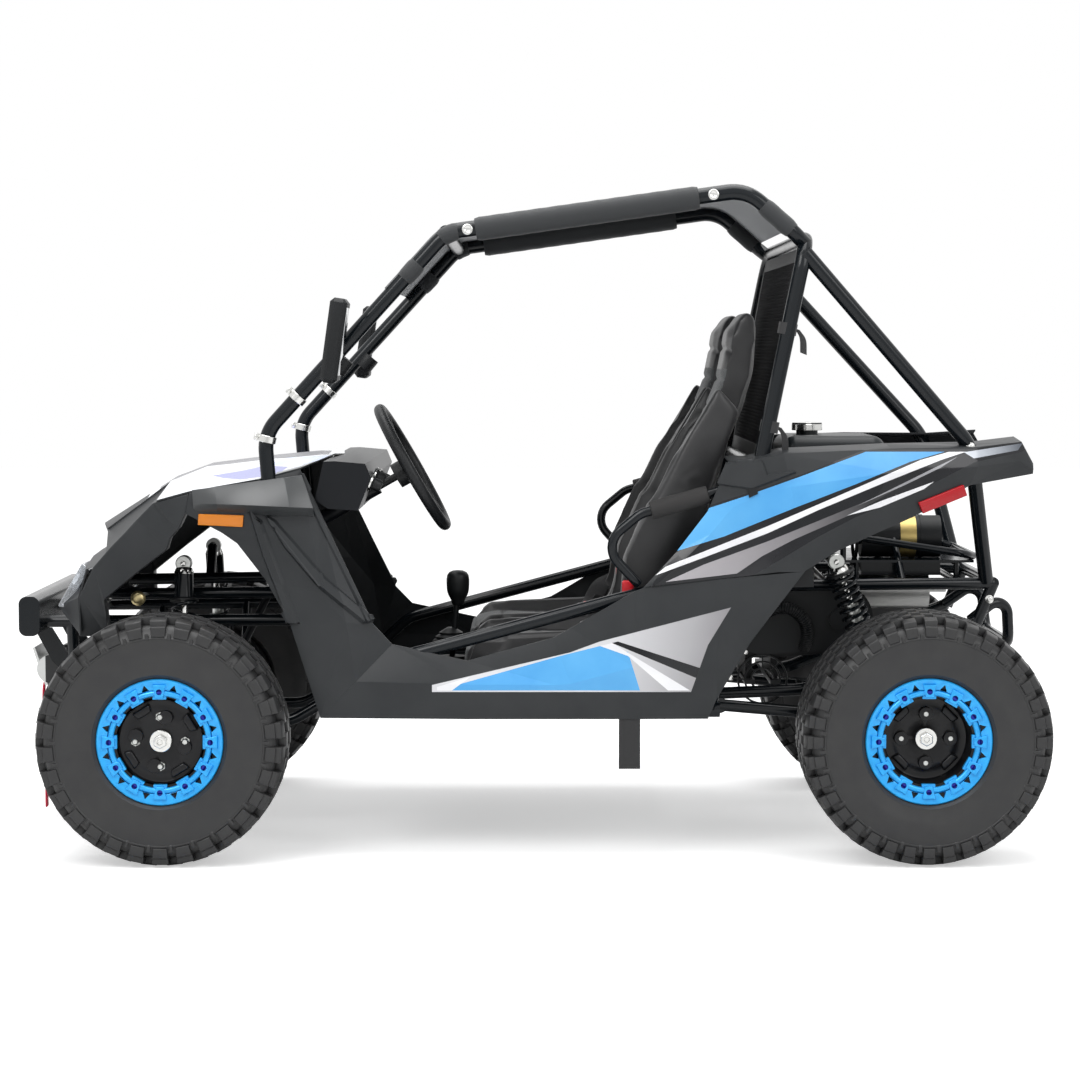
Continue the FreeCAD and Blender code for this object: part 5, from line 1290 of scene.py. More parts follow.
def makeArmSleeves():
    rear, front = Vector(armSettings["rear"]), Vector(armSettings["front"])
    for side, word in ((1, "Left"), (-1, "Right")):
        start = Vector((rear.x, rear.y * side, rear.z))
        end = Vector((front.x, front.y * side, front.z))
        sleeve = bar(start, end, armSettings["radius"], 36)
        along = (end - start).normalized()
        selectFaces(sleeve, lambda face: abs(face.normal.dot(along)) > 0.9)
        bpy.ops.mesh.inset(thickness=0.0035, depth=0.0018)
        bpy.ops.mesh.inset(thickness=armSettings["radius"] - 0.0035 - armSettings["hole"], depth=-0.0012)
        doneEditing()
        editAll(sleeve)
        for index in range(1, 24):
            bpy.ops.mesh.select_all(action="SELECT")
            bpy.ops.mesh.bisect(plane_co=start.lerp(end, index / 24), plane_no=along)
        doneEditing()
        for vertex in sleeve.data.vertices:
            place = (vertex.co - start).dot(along)
            axis = start + along * place
            reach = vertex.co - axis
            wave = 1 + 0.018 * sin(place * 95) - 0.03 * exp(-((place - 0.004) / 0.01) ** 2)
            vertex.co = axis + reach * wave
        finishPiece(sleeve, "armSleeve" + word, "armFoam", 50)
        if side > 0:
            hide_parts("armrest_pads")


makeArmSleeves()
print("armrest sleeves built")


# Soft top: a stretched sheet over the rails, held by padded sleeves and bolts

topSettings = {"line": [(0.294, 1.269), (0.17, 1.405), (-0.5, 1.499), (-0.604, 1.408)], "rail": 0.505,
    "bend": 0.09, "lift": 0.019, "sag": 0.012, "sheetThick": 0.0022, "sleeve": 0.025}


def railPoint(share):
    # a point on the side rail's line, by its share of the whole length, with the bends rounded
    line = [Vector((x, 0, z)) for x, z in topSettings["line"]]
    rounded = [line[0]]
    for before, corner, after in zip(line, line[1:], line[2:]):
        back, ahead = (before - corner).normalized(), (after - corner).normalized()
        reach = topSettings["bend"] / tan(back.angle(ahead) / 2)
        first, last = corner + back * reach, corner + ahead * reach
        for step in range(9):
            t = step / 8
            rounded.append(first * (1 - t) ** 2 + corner * (2 * t * (1 - t)) + last * t ** 2)
    rounded.append(line[-1])
    lengths = [0.0]
    for a, b in zip(rounded, rounded[1:]):
        lengths.append(lengths[-1] + (b - a).length)
    goal = share * lengths[-1]
    step = min(len(rounded) - 2, max(i for i, length in enumerate(lengths) if length <= goal + 1e-9))
    along = (rounded[step + 1] - rounded[step]).normalized()
    return rounded[step] + along * (goal - lengths[step]), along, lengths[-1]


def makeRoof():
    stations, wide = 96, 48
    bpy.ops.mesh.primitive_grid_add(x_subdivisions=stations, y_subdivisions=wide, size=1)
    sheet = bpy.context.object
    for vertex in sheet.data.vertices:
        share = vertex.co.x + 0.5
        across = vertex.co.y * 2
        point, along, length = railPoint(share)
        up = Vector((-along.z, 0, along.x))
        if up.z < 0:
            up = -up
        span = min(max((share - 0.14) / 0.62, 0), 1)
        droop = topSettings["sag"] * sin(pi * span) * (1 - across ** 2)
        fold = 0.0011 * sin(share * 61 + across * 7) * (1 - abs(across)) ** 0.5 * sin(pi * span)
        hem = 0.004 * exp(-((1 - abs(across)) / 0.02) ** 2)
        vertex.co = point + up * (topSettings["lift"] - droop + fold - hem)
        vertex.co.y = across * topSettings["rail"]
    applied(sheet, "SOLIDIFY", thickness=topSettings["sheetThick"], offset=0)
    outwards(sheet)
    recoat(sheet, "topCloth", "topLiner")
    for face in sheet.data.polygons:
        face.material_index = 1 if face.normal.z < -0.2 else 0
    trim = []
    for side in (1, -1):
        for first, last, radius in ((0.045, 0.092, 0.0205), (0.168, 0.21, 0.0205),
                (0.25, 0.757, topSettings["sleeve"]), (0.912, 0.997, 0.0205)):
            trim.append(wrapSleeve(side, first, last, radius))
        for share in (0.232, 0.79):
            trim.append(railBolt(side, share))
    for piece in trim:
        finishPiece(piece, piece.name, smooth=45)
    finishPiece(sheet, "roofSheet", smooth=50)
    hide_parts("roof_cover")


def railAcross(x):
    # half the distance between the two rails at a place along them
    return 0.48 + 0.02 * (0.58 - x) / 0.41 if x > 0.17 else min(0.505, 0.5 + 0.005 * (0.17 - x) / 0.67)


def wrapSleeve(side, first, last, radius):
    # a padded wrap round the rail; the thick one is drawn in along its underside
    rings = max(5, int((last - first) * 90))
    bpy.ops.mesh.primitive_cylinder_add(vertices=28, radius=1, depth=1, end_fill_type="NGON")
    sleeve = bpy.context.object
    editAll(sleeve)
    for index in range(1, rings):
        bpy.ops.mesh.select_all(action="SELECT")
        bpy.ops.mesh.bisect(plane_co=(0, 0, -0.5 + index / rings), plane_no=(0, 0, 1))
    doneEditing()
    for vertex in sleeve.data.vertices:
        share = first + (last - first) * (vertex.co.z + 0.5)
        point, along, length = railPoint(share)
        up = Vector((-along.z, 0, along.x))
        if up.z < 0:
            up = -up
        turn = atan2(vertex.co.y, vertex.co.x)
        ends = min(vertex.co.z + 0.5, 0.5 - vertex.co.z) * (last - first) * length
        full = radius * (1 - 0.1 * exp(-ends / 0.004))
        full *= 1 + 0.012 * sin(share * 140 + turn * 2)
        low = 0.003 * max(0, -sin(turn)) if radius > 0.022 else 0
        vertex.co = point + up * (sin(turn) * full - low)
        vertex.co.y = side * railAcross(point.x) + cos(turn) * full
    outwards(sleeve)
    sleeve.name = "roofWrap%s%03d" % ("Left" if side > 0 else "Right", round(first * 1000))
    recoat(sleeve, "topCloth")
    return sleeve


def railBolt(side, share):
    point, along, length = railPoint(share)
    start = Vector((point.x, side * (railAcross(point.x) + 0.0145), point.z))
    bolt = bar(start, start + Vector((0, side * 0.0075, 0)), 0.0122, 28)
    selectFaces(bolt, lambda face: face.normal.y * side > 0.9)
    bpy.ops.mesh.inset(thickness=0.0046, depth=0.0008)
    bpy.ops.mesh.inset(thickness=0.0034, depth=-0.0026)
    doneEditing()
    applied(bolt, "BEVEL", width=0.001, segments=2)
    bolt.name = "roofBolt%s%03d" % ("Left" if side > 0 else "Right", round(share * 1000))
    coat(bolt, "chromeNut")
    return bolt


makeRoof()
print("soft top built")


# Rear mesh panel: knotted net in a webbing border, strapped to the hoop

netSettings = {"low": (-0.541, 0.896), "high": (-0.627, 1.372), "half": 0.486, "cell": 0.016,
    "cord": 0.0021}


def makeNet():
    low, high = netSettings["low"], netSettings["high"]
    rise = sqrt((high[0] - low[0]) ** 2 + (high[1] - low[1]) ** 2)
    columns = round(2 * netSettings["half"] / netSettings["cell"])
    rows = round(rise / netSettings["cell"])
    bpy.ops.mesh.primitive_grid_add(x_subdivisions=columns, y_subdivisions=rows, size=1)
    net = bpy.context.object
    for vertex in net.data.vertices:
        across, share = vertex.co.x * 2, vertex.co.y + 0.5
        bulge = -0.008 * (1 - across ** 2) * sin(pi * share)
        vertex.co = (low[0] + (high[0] - low[0]) * share + bulge, across * (netSettings["half"] - 0.008),
            low[1] + (high[1] - low[1]) * share)
    editAll(net)
    bpy.ops.mesh.poke()
    bpy.ops.mesh.tris_convert_to_quads(face_threshold=radians(90), shape_threshold=radians(180))
    doneEditing()
    applied(net, "WIREFRAME", thickness=netSettings["cord"], use_even_offset=False, use_boundary=True)
    border = []
    half = netSettings["half"]
    corners = [(low[0], half, low[1]), (low[0], -half, low[1]), (high[0], -half, high[1]),
        (high[0], half, high[1])]
    for start, end in zip(corners, corners[1:] + corners[:1]):
        start, end = Vector(start), Vector(end)
        lean = (Vector((high[0], 0, high[1])) - Vector((low[0], 0, low[1]))).normalized()
        width = lean if abs(start.z - end.z) < 0.01 else Vector((0, 1, 0))
        inset = Vector((0, -1 if start.y > 0 else 1, 0)) * 0.014 if width.y else lean * (0.014
            if start.z < 1 else -0.014)
        band = strap("netBorder", [start + inset, start.lerp(end, 0.5) + inset, end + inset], 0.03, 0.003,
            finishes["webbing"], width, 30)
        border.append(band)
    for side in (1, -1):
        for share, reach in ((0.16, 0.05), (0.62, 0.05)):
            centre = Vector((low[0] + (high[0] - low[0]) * share, side * 0.5,
                low[1] + (high[1] - low[1]) * share))
            loop = turnedRing("netStrap", [(-0.013, 0.0185), (0.013, 0.0185), (0.013, 0.0212),
                (-0.013, 0.0212)], 28)
            lean = Vector((high[0] - low[0], 0, high[1] - low[1])).normalized()
            placed(loop, centre, turnTo(lean, "Y", "X"))
            coat(loop, "webbing")
            tail = strap("netTail", [centre + Vector((-0.02, 0, 0)), centre + Vector((-0.034, 0, -0.022)),
                centre + Vector((-0.036, 0, -0.056))], 0.016, 0.002, finishes["webbing"], (1, 0, 0.4))
            border += [loop, tail]
    edge = joined("netBorder", border)
    finishPiece(edge, "netBorder", smooth=40)
    finishPiece(net, "meshNet", "netCord", 40)
    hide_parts("mesh_panel")


makeNet()
print("mesh panel built")


# Mirrors: wedge housings with a glass in each rear face

def makeMirrors():
    shells = panelCopy("mirrors", "mirrorShells", 0.0035, 25)
    finishPiece(shells, "mirrorShells", "moulded", 40)
    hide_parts("mirrors")
    rear = {}
    for face in shells.data.polygons:
        if face.normal.x < -0.8 and face.area > 0.002:
            rear.setdefault(face.center.y > 0, []).append(face)
    for side, faces in rear.items():
        whole = sum(face.area for face in faces)
        centre = sum((face.center * face.area for face in faces), Vector()) / whole
        normal = sum((face.normal * face.area for face in faces), Vector()).normalized()
        corners = [shells.data.vertices[index].co for face in faces for index in face.vertices]
        half = Vector((0, (max(c.y for c in corners) - min(c.y for c in corners)) / 2,
            (max(c.z for c in corners) - min(c.z for c in corners)) / 2))
        up = normal.cross(Vector((0, 1, 0))).normalized()
        glass = brick((-0.001, -half.y + 0.009, -half.z + 0.009), (0.0012, half.y - 0.009, half.z - 0.009))
        applied(glass, "BEVEL", width=0.016, segments=5, affect="EDGES", limit_method="ANGLE",
            angle_limit=radians(60))
        turn = Matrix((normal, normal.cross(up), up)).transposed().to_4x4()
        placed(glass, centre, turn)
        outwards(glass)
        name = "mirrorGlass" + ("Left" if side else "Right")
        finishPiece(glass, name, "mirrorGlass", 40)


makeMirrors()
print("mirrors built")


# Shock absorbers: a wound spring over a body, with eyes and bushes at both ends

shockSettings = {
    "front": {"node": "front_shocks", "head": (0.787, 0.3, 0.6495), "foot": (0.775, 0.4, 0.215),
        "coil": 0.027, "wire": 0.0042, "turns": 8, "from": 0.2, "to": 0.8, "body": 0.0185,
        "sleeve": (0.045, 0.19, 0.0225)},
    "rear": {"node": "rear_shocks", "head": (-0.725, 0.33, 0.6555), "foot": (-0.846, 0.305, 0.3255),
        "coil": 0.0285, "wire": 0.0045, "turns": 7, "from": 0.09, "to": 0.45, "body": 0.02,
        "sleeve": (0.46, 0.93, 0.0215)},
}


def coilSpring(radius, wire, turns, length):
    # a wire section screwed up the shock's line, with its two ends closed off
    bpy.ops.mesh.primitive_circle_add(vertices=10, radius=wire, rotation=(pi / 2, 0, 0),
        location=(radius, 0, 0))
    spring = settle(bpy.context.object)
    applied(spring, "SCREW", axis="Z", angle=2 * pi, screw_offset=length / turns, iterations=turns,
        steps=26, render_steps=26, use_normal_calculate=True)
    editAll(spring, "EDGE")
    bpy.ops.mesh.select_all(action="DESELECT")
    bpy.ops.mesh.select_non_manifold()
    bpy.ops.mesh.edge_face_add()
    doneEditing()
    return outwards(spring)


def alongLine(piece, start, end):
    # stands a piece made on Z from the origin on a line between two places
    way = turnTo(end - start)
    placed(piece, start, way)
    return piece


def turnedUp(name, outline, steps=32):
    # outline is a loop of (height, radius), turned about Z
    ring = turnedRing(name, [(height, reach) for height, reach in outline], steps)
    ring.data.transform(Matrix.Rotation(pi / 2, 4, "X"))
    return outwards(ring)


def makeShock(kind, side):
    plan = shockSettings[kind]
    head = Vector((plan["head"][0], plan["head"][1] * side, plan["head"][2]))
    foot = Vector((plan["foot"][0], plan["foot"][1] * side, plan["foot"][2]))
    span = (foot - head).length
    spring = coilSpring(plan["coil"], plan["wire"], plan["turns"], span * (plan["to"] - plan["from"]))
    placed(spring, (0, 0, span * plan["from"]))
    coat(spring, "glossTubePaint")
    low, high, reach = plan["sleeve"]
    rod = turnedUp("shockRod", [(0.004, 0.0), (0.004, 0.0075), (span * 0.5, 0.0075), (span * 0.5, 0.0)])
    coat(rod, "chromeNut")
    cap = turnedUp("shockCap", [(0.012, 0.008), (0.012, 0.019), (0.02, 0.0225), (0.028, 0.0225),
        (0.031, 0.016), (0.031, 0.008)])
    coat(cap, "chromeNut")
    upper = span * plan["from"]
    lower = span * plan["to"]
    seatReach = plan["coil"] + plan["wire"] + 0.002
    seats = turnedUp("shockSeat", [(upper - 0.006, 0.009), (upper - 0.006, seatReach - 0.003),
        (upper - 0.003, seatReach), (upper, seatReach), (upper + 0.001, 0.02), (upper + 0.001, 0.009)])
    coat(seats, "moulded")
    base = turnedUp("shockBase", [(lower, 0.012), (lower, seatReach - 0.004),
        (lower + 0.003, seatReach - 0.002), (lower + 0.007, seatReach - 0.002),
        (lower + 0.012, plan["body"]), (lower + 0.012, 0.012)])
    coat(base, "zincSteel")
    body = turnedUp("shockBody", [(span * low, 0.01), (span * low, reach - 0.002),
        (span * low + 0.002, reach), (span * high - 0.003, reach), (span * high, reach - 0.003),
        (span * high, 0.01)])
    coat(body, "glossTubePaint" if kind == "front" else "zincSteel")
    tube = turnedUp("shockTube", [(span * 0.3, 0.01), (span * 0.3, plan["body"] * 0.8),
        (span * 0.95, plan["body"] * 0.8), (span * 0.95, 0.01)])
    coat(tube, "zincSteel")
    parts = [spring, rod, cap, seats, base, body, tube]
    for part in parts:
        alongLine(part, head, foot)
    for place in (head, foot):
        eye = turnedRing("shockEye", [(-0.014, 0.0065), (-0.014, 0.0165), (-0.012, 0.0185), (0.012, 0.0185),
            (0.014, 0.0165), (0.014, 0.0065)], 28)
        placed(eye, place)
        coat(eye, "zincSteel")
        pin = bar(place - Vector((0, 0.019, 0)), place + Vector((0, 0.019, 0)), 0.0062, 6)
        applied(pin, "BEVEL", width=0.001, segments=2)
        coat(pin, "chromeNut")
        parts += [eye, pin]
    name = kind + "Shock" + ("Left" if side > 0 else "Right")
    finishPiece(parts, name)
    return bpy.data.objects[name]


def makeShocks():
    for kind in shockSettings:
        left = makeShock(kind, 1)
        makeShock(kind, -1)
        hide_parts(shockSettings[kind]["node"])


makeShocks()
print("shocks built")


# Small fixings: one hexagon bolt with its washer, copied to each place

boltSettings = {"across": 0.007, "height": 0.0058, "washer": 0.01, "washerThick": 0.0016}


def makeBolt():
    washer = bar((0, 0, 0), (0, 0, boltSettings["washerThick"]), boltSettings["washer"], 24)
    applied(washer, "BEVEL", width=0.0004, segments=2)
    head = bar((0, 0, boltSettings["washerThick"]), (0, 0, boltSettings["washerThick"]
        + boltSettings["height"]), boltSettings["across"], 6)
    selectFaces(head, lambda face: face.normal.z > 0.9)
    bpy.ops.mesh.inset(thickness=0.0012, depth=0.001)
    doneEditing()
    applied(head, "BEVEL", width=0.0005, segments=2)
    bolt = joined("boltPattern", [washer, head])
    recoat(bolt, "chromeNut")
    return bolt


def placeBolts(name, pattern, places, body, scale=1.0):
    # places are (point, direction) pairs
    made = []
    for point, way in places:
        bolt = copyOf(pattern, "bolt")
        turn = turnTo(Vector(way))
        bolt.data.transform(Matrix.Translation(Vector(point)) @ turn @ Matrix.Scale(scale, 4))
        made.append(bolt)
    return finishPiece(made, name, smooth=30, body=body)


boltPlaces = {
    "frontFrame": [(0.787, 0.3, 0.6495), (0.977, 0.26, 0.56), (0.64, 0.238, 0.466), (0.56, 0.238, 0.466)],
    "rearFrame": [(-1.06, 0.395, 0.64), (-1.095, 0.4, 0.56), (-0.725, 0.351, 0.6555)],
    "roofBrace": [(-1.02, 0.402, 0.924)],
}


def makeFixings():
    pattern = makeBolt()
    for group, points in boltPlaces.items():
        places = []
        for x, y, z in points:
            for side in (1, -1):
                places.append((x, y, z, side))
        kept = []
        for x, y, z, side in places:
            hit = surfaceFrom(Vector((x, side * (y + 0.25), z)), Vector((0, -side, 0)), 0.5)
            if hit:
                kept.append((hit, (0, side, 0)))
        if kept:
            placeBolts(group + "Bolts", pattern, kept, "chassis")
    bpy.data.objects.remove(pattern)


def surfaceFrom(start, way, reach):
    # nearest kept solid of the frame along a line
    best = None
    for name in ("front_frame", "front_crossbars", "rear_frame", "roll_cage", "floor_frame", "rear_rack"):
        hit, place, normal, index = nodes[name].ray_cast(start, way)
        if hit and (place - start).length < reach and normal.dot(way) < -0.5:
            if best is None or (place - start).length < (best - start).length:
                best = place
    return best


makeFixings()
print("bolts placed")


# Roll cage tubes, and the ring clamps on the front pillars

cageSettings = {"tube": 0.017, "bend": 0.09, "hoopBend": 0.07, "braceBend": 0.12, "loop": 0.011,
    "loopBend": 0.06, "foot": (0.43, 0.5, 0.335), "knee": (0.56, 0.48, 0.7), "waist": (0.58, 0.48, 0.955),
    "top": (0.17, 0.5, 1.405), "apex": (-0.5, 0.505, 1.499), "turn": (-0.604, 0.505, 1.408),
    "end": (-0.634, 0.474, 1.382), "half": 0.505, "hoopFoot": (-0.422, 0.335), "hoopTop": (-0.637, 1.392),
    "braceLow": (-1.023, 0.4, 0.9245), "braceFoot": (-1.088, 0.236, 0.6035), "clampHeights": (0.944, 1.037)}


def onHoop(height, across):
    low, high = cageSettings["hoopFoot"], cageSettings["hoopTop"]
    share = (height - low[1]) / (high[1] - low[1])
    return Vector((low[0] + share * (high[0] - low[0]), across, height))


def makeCage():
    # the welded tubes, each on its bent centre line
    cage, half = cageSettings, cageSettings["half"]
    parts = []
    for side in (1, -1):
        rail = [Vector(cage[key]) for key in ("foot", "knee", "waist", "top", "apex", "turn", "end")]
        brace = [onHoop(1.362, half), Vector(cage["braceLow"]), Vector(cage["braceFoot"])]
        loop = [onHoop(0.838, half), Vector((-0.455, half + 0.022, 0.832)),
            Vector((-0.265, half + 0.022, 0.778)), Vector((-0.179, half + 0.022, 0.707)),
            Vector((-0.262, half + 0.003, 0.617))]
        for corners, radius, bend in ((rail, cage["tube"], cage["bend"]),
                (brace, cage["tube"], cage["braceBend"]), (loop, cage["loop"], cage["loopBend"])):
            for corner in corners:
                corner.y *= side
            parts.append(swept(bentLine(corners, bend), radius, 32))
    hoop = [onHoop(0.335, half), onHoop(1.392, half), onHoop(1.392, -half), onHoop(0.335, -half)]
    parts.append(swept(bentLine(hoop, cage["hoopBend"]), cage["tube"], 32))
    top = Vector(cage["top"])
    parts.append(bar((top.x, -top.y, top.z), top, cage["tube"], 32))
    parts.append(bar(onHoop(0.88, -half), onHoop(0.88, half), cage["tube"], 32))
    piece = finishPiece(parts, "rollCage", "glossTubePaint", smooth=40)
    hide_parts("roll_cage")


clampSettings = {"inner": 0.0168, "outer": 0.0212, "half": 0.008}


def makeClamps():
    inner, outer, half = clampSettings["inner"], clampSettings["outer"], clampSettings["half"]
    for side, word in ((1, "Left"), (-1, "Right")):
        rail = bentLine([Vector(cageSettings[key]) for key in ("knee", "waist", "top")],
            cageSettings["bend"])
        parts = []
        for height in cageSettings["clampHeights"]:
            below, above = next((a, b) for a, b in zip(rail, rail[1:]) if a.z <= height <= b.z)
            centre = below.lerp(above, (height - below.z) / (above.z - below.z))
            lean = above - below
            centre.y *= side
            lean.y *= side
            ring = turnedRing("pillarClamp", [(-half, inner), (-half, outer - 0.001),
                (-half + 0.001, outer), (half - 0.001, outer), (half, outer - 0.001), (half, inner)], 32)
            lug = brick((-0.006, -half, outer - 0.002), (0.006, half, outer + 0.008))
            applied(lug, "BEVEL", width=0.0015, segments=2)
            screw = bar((-0.011, 0, outer + 0.004), (0.011, 0, outer + 0.004), 0.0035, 12)
            applied(screw, "BEVEL", width=0.0006, segments=2)
            turn = turnTo(lean, "Y", "Z")
            for part in (ring, lug, screw):
                placed(part, centre, turn)
                coat(part, "chromeNut")
                parts.append(part)
        finishPiece(parts, "pillarClamps" + word)


makeClamps()
print("pillar clamps built")


# Wheel hubs: a washer, a nut, the axle's tip and its pin at each wheel

hubSettings = {"washer": 0.0245, "washerThick": 0.0022, "across": 0.0155, "nut": 0.012, "pin": 0.0016}


def makeHubNuts():
    for kind, body in (("front_rim_left", "front_wheel_left"), ("front_rim_right", "front_wheel_right"),
            ("rear_rim_left", "rear_axle"), ("rear_rim_right", "rear_axle")):
        low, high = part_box(kind)
        side = 1 if low.y > 0 else -1
        centre = (low + high) / 2
        start = Vector((centre.x, side * 1.0, centre.z))
        face = None
        for name in nodes:
            if name.startswith(("front_hub", "rear_axle")):
                hit, place, normal, index = nodes[name].ray_cast(start, Vector((0, -side, 0)))
                if hit and (face is None or abs(place.y) > abs(face)):
                    face = place.y
        washer = turnedUp("hubWasher", [(0, 0.006), (0, hubSettings["washer"]),
            (0.0016, hubSettings["washer"]), (0.0024, hubSettings["washer"] - 0.001), (0.0024, 0.006)], 40)
        nut = bar((0, 0, 0.002), (0, 0, 0.002 + hubSettings["nut"]), hubSettings["across"], 6)
        selectFaces(nut, lambda side: side.normal.z > 0.9)
        bpy.ops.mesh.inset(thickness=0.0022, depth=0.0016)
        bpy.ops.mesh.inset(thickness=0.0055, depth=0.0)
        bpy.ops.mesh.inset(thickness=0.0004, depth=-0.003)
        doneEditing()
        applied(nut, "BEVEL", width=0.0006, segments=2)
        tip = turnedUp("axleTip", [(0.006, 0.0), (0.006, 0.0062), (0.0125, 0.0062), (0.0142, 0.0048),
            (0.0142, 0.0)], 24)
        pin = bar((-0.0125, 0, 0.0125), (0.0125, 0, 0.0125), hubSettings["pin"], 10)
        applied(pin, "BEVEL", width=0.0004, segments=2)
        parts = [washer, nut, tip, pin]
        turn = turnTo(Vector((0, side, 0)))
        for part in parts:
            placed(part, (centre.x, face, centre.z), turn)
            recoat(part, "chromeNut")
        name = "hubNut" + "".join(word.capitalize() for word in kind.replace("rim_", "").split("_"))
        finishPiece(parts, name, smooth=30, body=body)


makeHubNuts()
print("hub nuts built")


# Lamps: lens blocks with clear fronts and silver backs, and two silver rings on each

lampSettings = {"x": 1.02, "z": 0.608, "inner": 0.205, "width": 0.155, "facing": (0.86, 0.5)}


def makeLamps():
    ahead, up = lampSettings["facing"]
    lamps = panelCopy("headlights", "lampLenses", 0.004, 25)
    coat(lamps, "lampClear", "lampSilver")
    for face in lamps.data.polygons:
        forward = face.normal.x * ahead + face.normal.z * up
        face.material_index = 0 if forward > 0.35 or abs(face.normal.y) > 0.7 else 1
    finishPiece(lamps, "lampLenses", smooth=40)
    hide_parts("headlights")
    bezels = []
    for side in (1, -1):
        for share in (0.3, 0.7):
            y = side * (lampSettings["inner"] + lampSettings["width"] * share)
            centre = Vector((lampSettings["x"], y, lampSettings["z"]))
            ring = turnedRing("lampRing", [(-0.004, 0.03), (-0.004, 0.036), (0.005, 0.036), (0.005, 0.031)],
                32)
            way = Vector((ahead, 0, up))
            placed(ring, centre + way * 0.013, turnTo(way, "Y", "Z"))
            coat(ring, "lampSilver")
            bezels.append(ring)
    finishPiece(bezels, "lampRings")


makeLamps()
print("lamps built")


# Winch strap, fuel cap, air cleaner bands, side case, shift lever, dash knobs, horn and panel flanges

mechSettings = {"fuelCap": (-0.688, 0.0, 0.94), "fuelReach": 0.0368, "canister": (0.11, 0.6998, 0.0503),
    "band": (-0.935, -0.897), "caseCrank": (-0.565, 0.369), "caseDrive": (-0.745, 0.38),
    "shifter": (0.176, 0.0, 0.418), "grip": (0.159, 0, 0.5255)}


def makeFuelCap():
    x, y, z = mechSettings["fuelCap"]
    reach = mechSettings["fuelReach"]
    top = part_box("fuel_tank")[1].z
    cap = turnedUp("fuelCap", [(top - 0.0175, 0.02), (top - 0.0175, reach), (top - 0.004, reach),
        (top + 0.0004, reach - 0.004), (top + 0.001, reach - 0.009), (top + 0.0018, 0.012),
        (top + 0.0018, 0.0)], 48)
    for vertex in cap.data.vertices:
        around = atan2(vertex.co.y, vertex.co.x)
        if vertex.co.xy.length > reach * 0.97:
            vertex.co.xy *= 1 + 0.004 * (1 if round(around / (2 * pi) * 48) % 2 else 0)
    placed(cap, (x, y, 0))
    finishPiece(cap, "fuelCap", "chromeNut", 25)


def makeCleanerBand():
    y, z, reach = mechSettings["canister"]
    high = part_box("air_cleaner")[1]
    start, end = mechSettings["band"]
    centreZ = high.z - reach
    parts = []
    for first, last, grow, finish in ((start, end, 0.0012, finishes["goldBand"]),
            (start - 0.018, start - 0.01, 0.0022, finishes["moulded"]),
            (end + 0.1, end + 0.108, 0.0022, finishes["moulded"])):
        ring = turnedRing("cleanerBand", [(first, reach - 0.001), (first, reach + grow),
            (last, reach + grow), (last, reach - 0.001)], 48)
        placed(ring, (0, y, centreZ), Matrix.Rotation(-pi / 2, 4, "Z"))
        ring.data.materials.append(finish)
        parts.append(outwards(ring))
    finishPiece(parts, "cleanerBands", smooth=40)


def makeSideCase():
    # ribs and a ring of screws on the belt drive's case, and the ribbed duct into it
    face = 0.222
    parts = []
    pattern = makeBolt()
    (x1, z1), (x2, z2) = mechSettings["caseCrank"], mechSettings["caseDrive"]
    reach = 0.0745
    for centre, angles in (((x1, z1), range(-60, 91, 30)), ((x2, z2), range(90, 271, 30))):
        for angle in angles:
            x = centre[0] + reach * cos(radians(angle))
            z = centre[1] + reach * sin(radians(angle))
            screw = copyOf(pattern, "caseScrew")
            turn = turnTo(Vector((0, 1, 0)))
            screw.data.transform(Matrix.Translation((x, 0.205, z)) @ turn @ Matrix.Scale(0.75, 4))
            parts.append(screw)
    bpy.data.objects.remove(pattern)
    for centre, reach in (((x1, z1), 0.058), ((x2, z2), 0.05)):
        for scale in (1.0, 0.72, 0.46):
            ring = turnedRing("caseRib", [(face - 0.002, reach * scale - 0.003),
                (face + 0.003, reach * scale - 0.002), (face + 0.003, reach * scale + 0.001),
                (face - 0.002, reach * scale + 0.002)], 48)
            placed(ring, (centre[0], 0, centre[1]))
            coat(ring, "moulded")
            parts.append(ring)
        for step in range(8):
            angle = 2 * pi * step / 8
            rib = brick((reach * 0.46, face - 0.002, -0.0015), (reach, face + 0.0025, 0.0015))
            placed(rib, (centre[0], 0, centre[1]), Matrix.Rotation(angle, 4, "Y"))
            coat(rib, "moulded")
            parts.append(rib)
    finishPiece(parts, "sideCaseTrim")
    duct = ribbedDuct([(-0.562, 0.255, 0.525), (-0.59, 0.262, 0.538), (-0.628, 0.262, 0.538),
        (-0.66, 0.255, 0.51), (-0.668, 0.24, 0.47), (-0.662, 0.215, 0.44)], 0.0135, 34)
    finishPiece(duct, "driveDuct", "moulded", 50)


def ribbedDuct(points, radius, ribs):
    duct = hose(points, radius, ribs * 4 + 1, 20)
    path = smoothPath(points, ribs * 4 + 1)
    for vertex in duct.data.vertices:
        step = min(range(len(path)), key=lambda i: (path[i] - vertex.co).length)
        vertex.co = path[step] + (vertex.co - path[step]) * (1.1 if step % 4 in (1, 2) else 0.9)
    return duct


def makeShiftGrip():
    # the moulded handle over the lever's round end
    outline = [(0.0, 0.0), (0.0, 0.0125), (0.003, 0.015), (0.01, 0.0165), (0.017, 0.0198), (0.0235, 0.0234),
        (0.03, 0.0257), (0.0375, 0.027), (0.05, 0.0277), (0.062, 0.0278), (0.072, 0.0262), (0.079, 0.0215),
        (0.083, 0.013), (0.0845, 0.0)]
    grip = turnedUp("shiftGrip", outline, 48)
    placed(grip, mechSettings["grip"])
    finishPiece(grip, "shiftGrip", "gripLeather", 50)


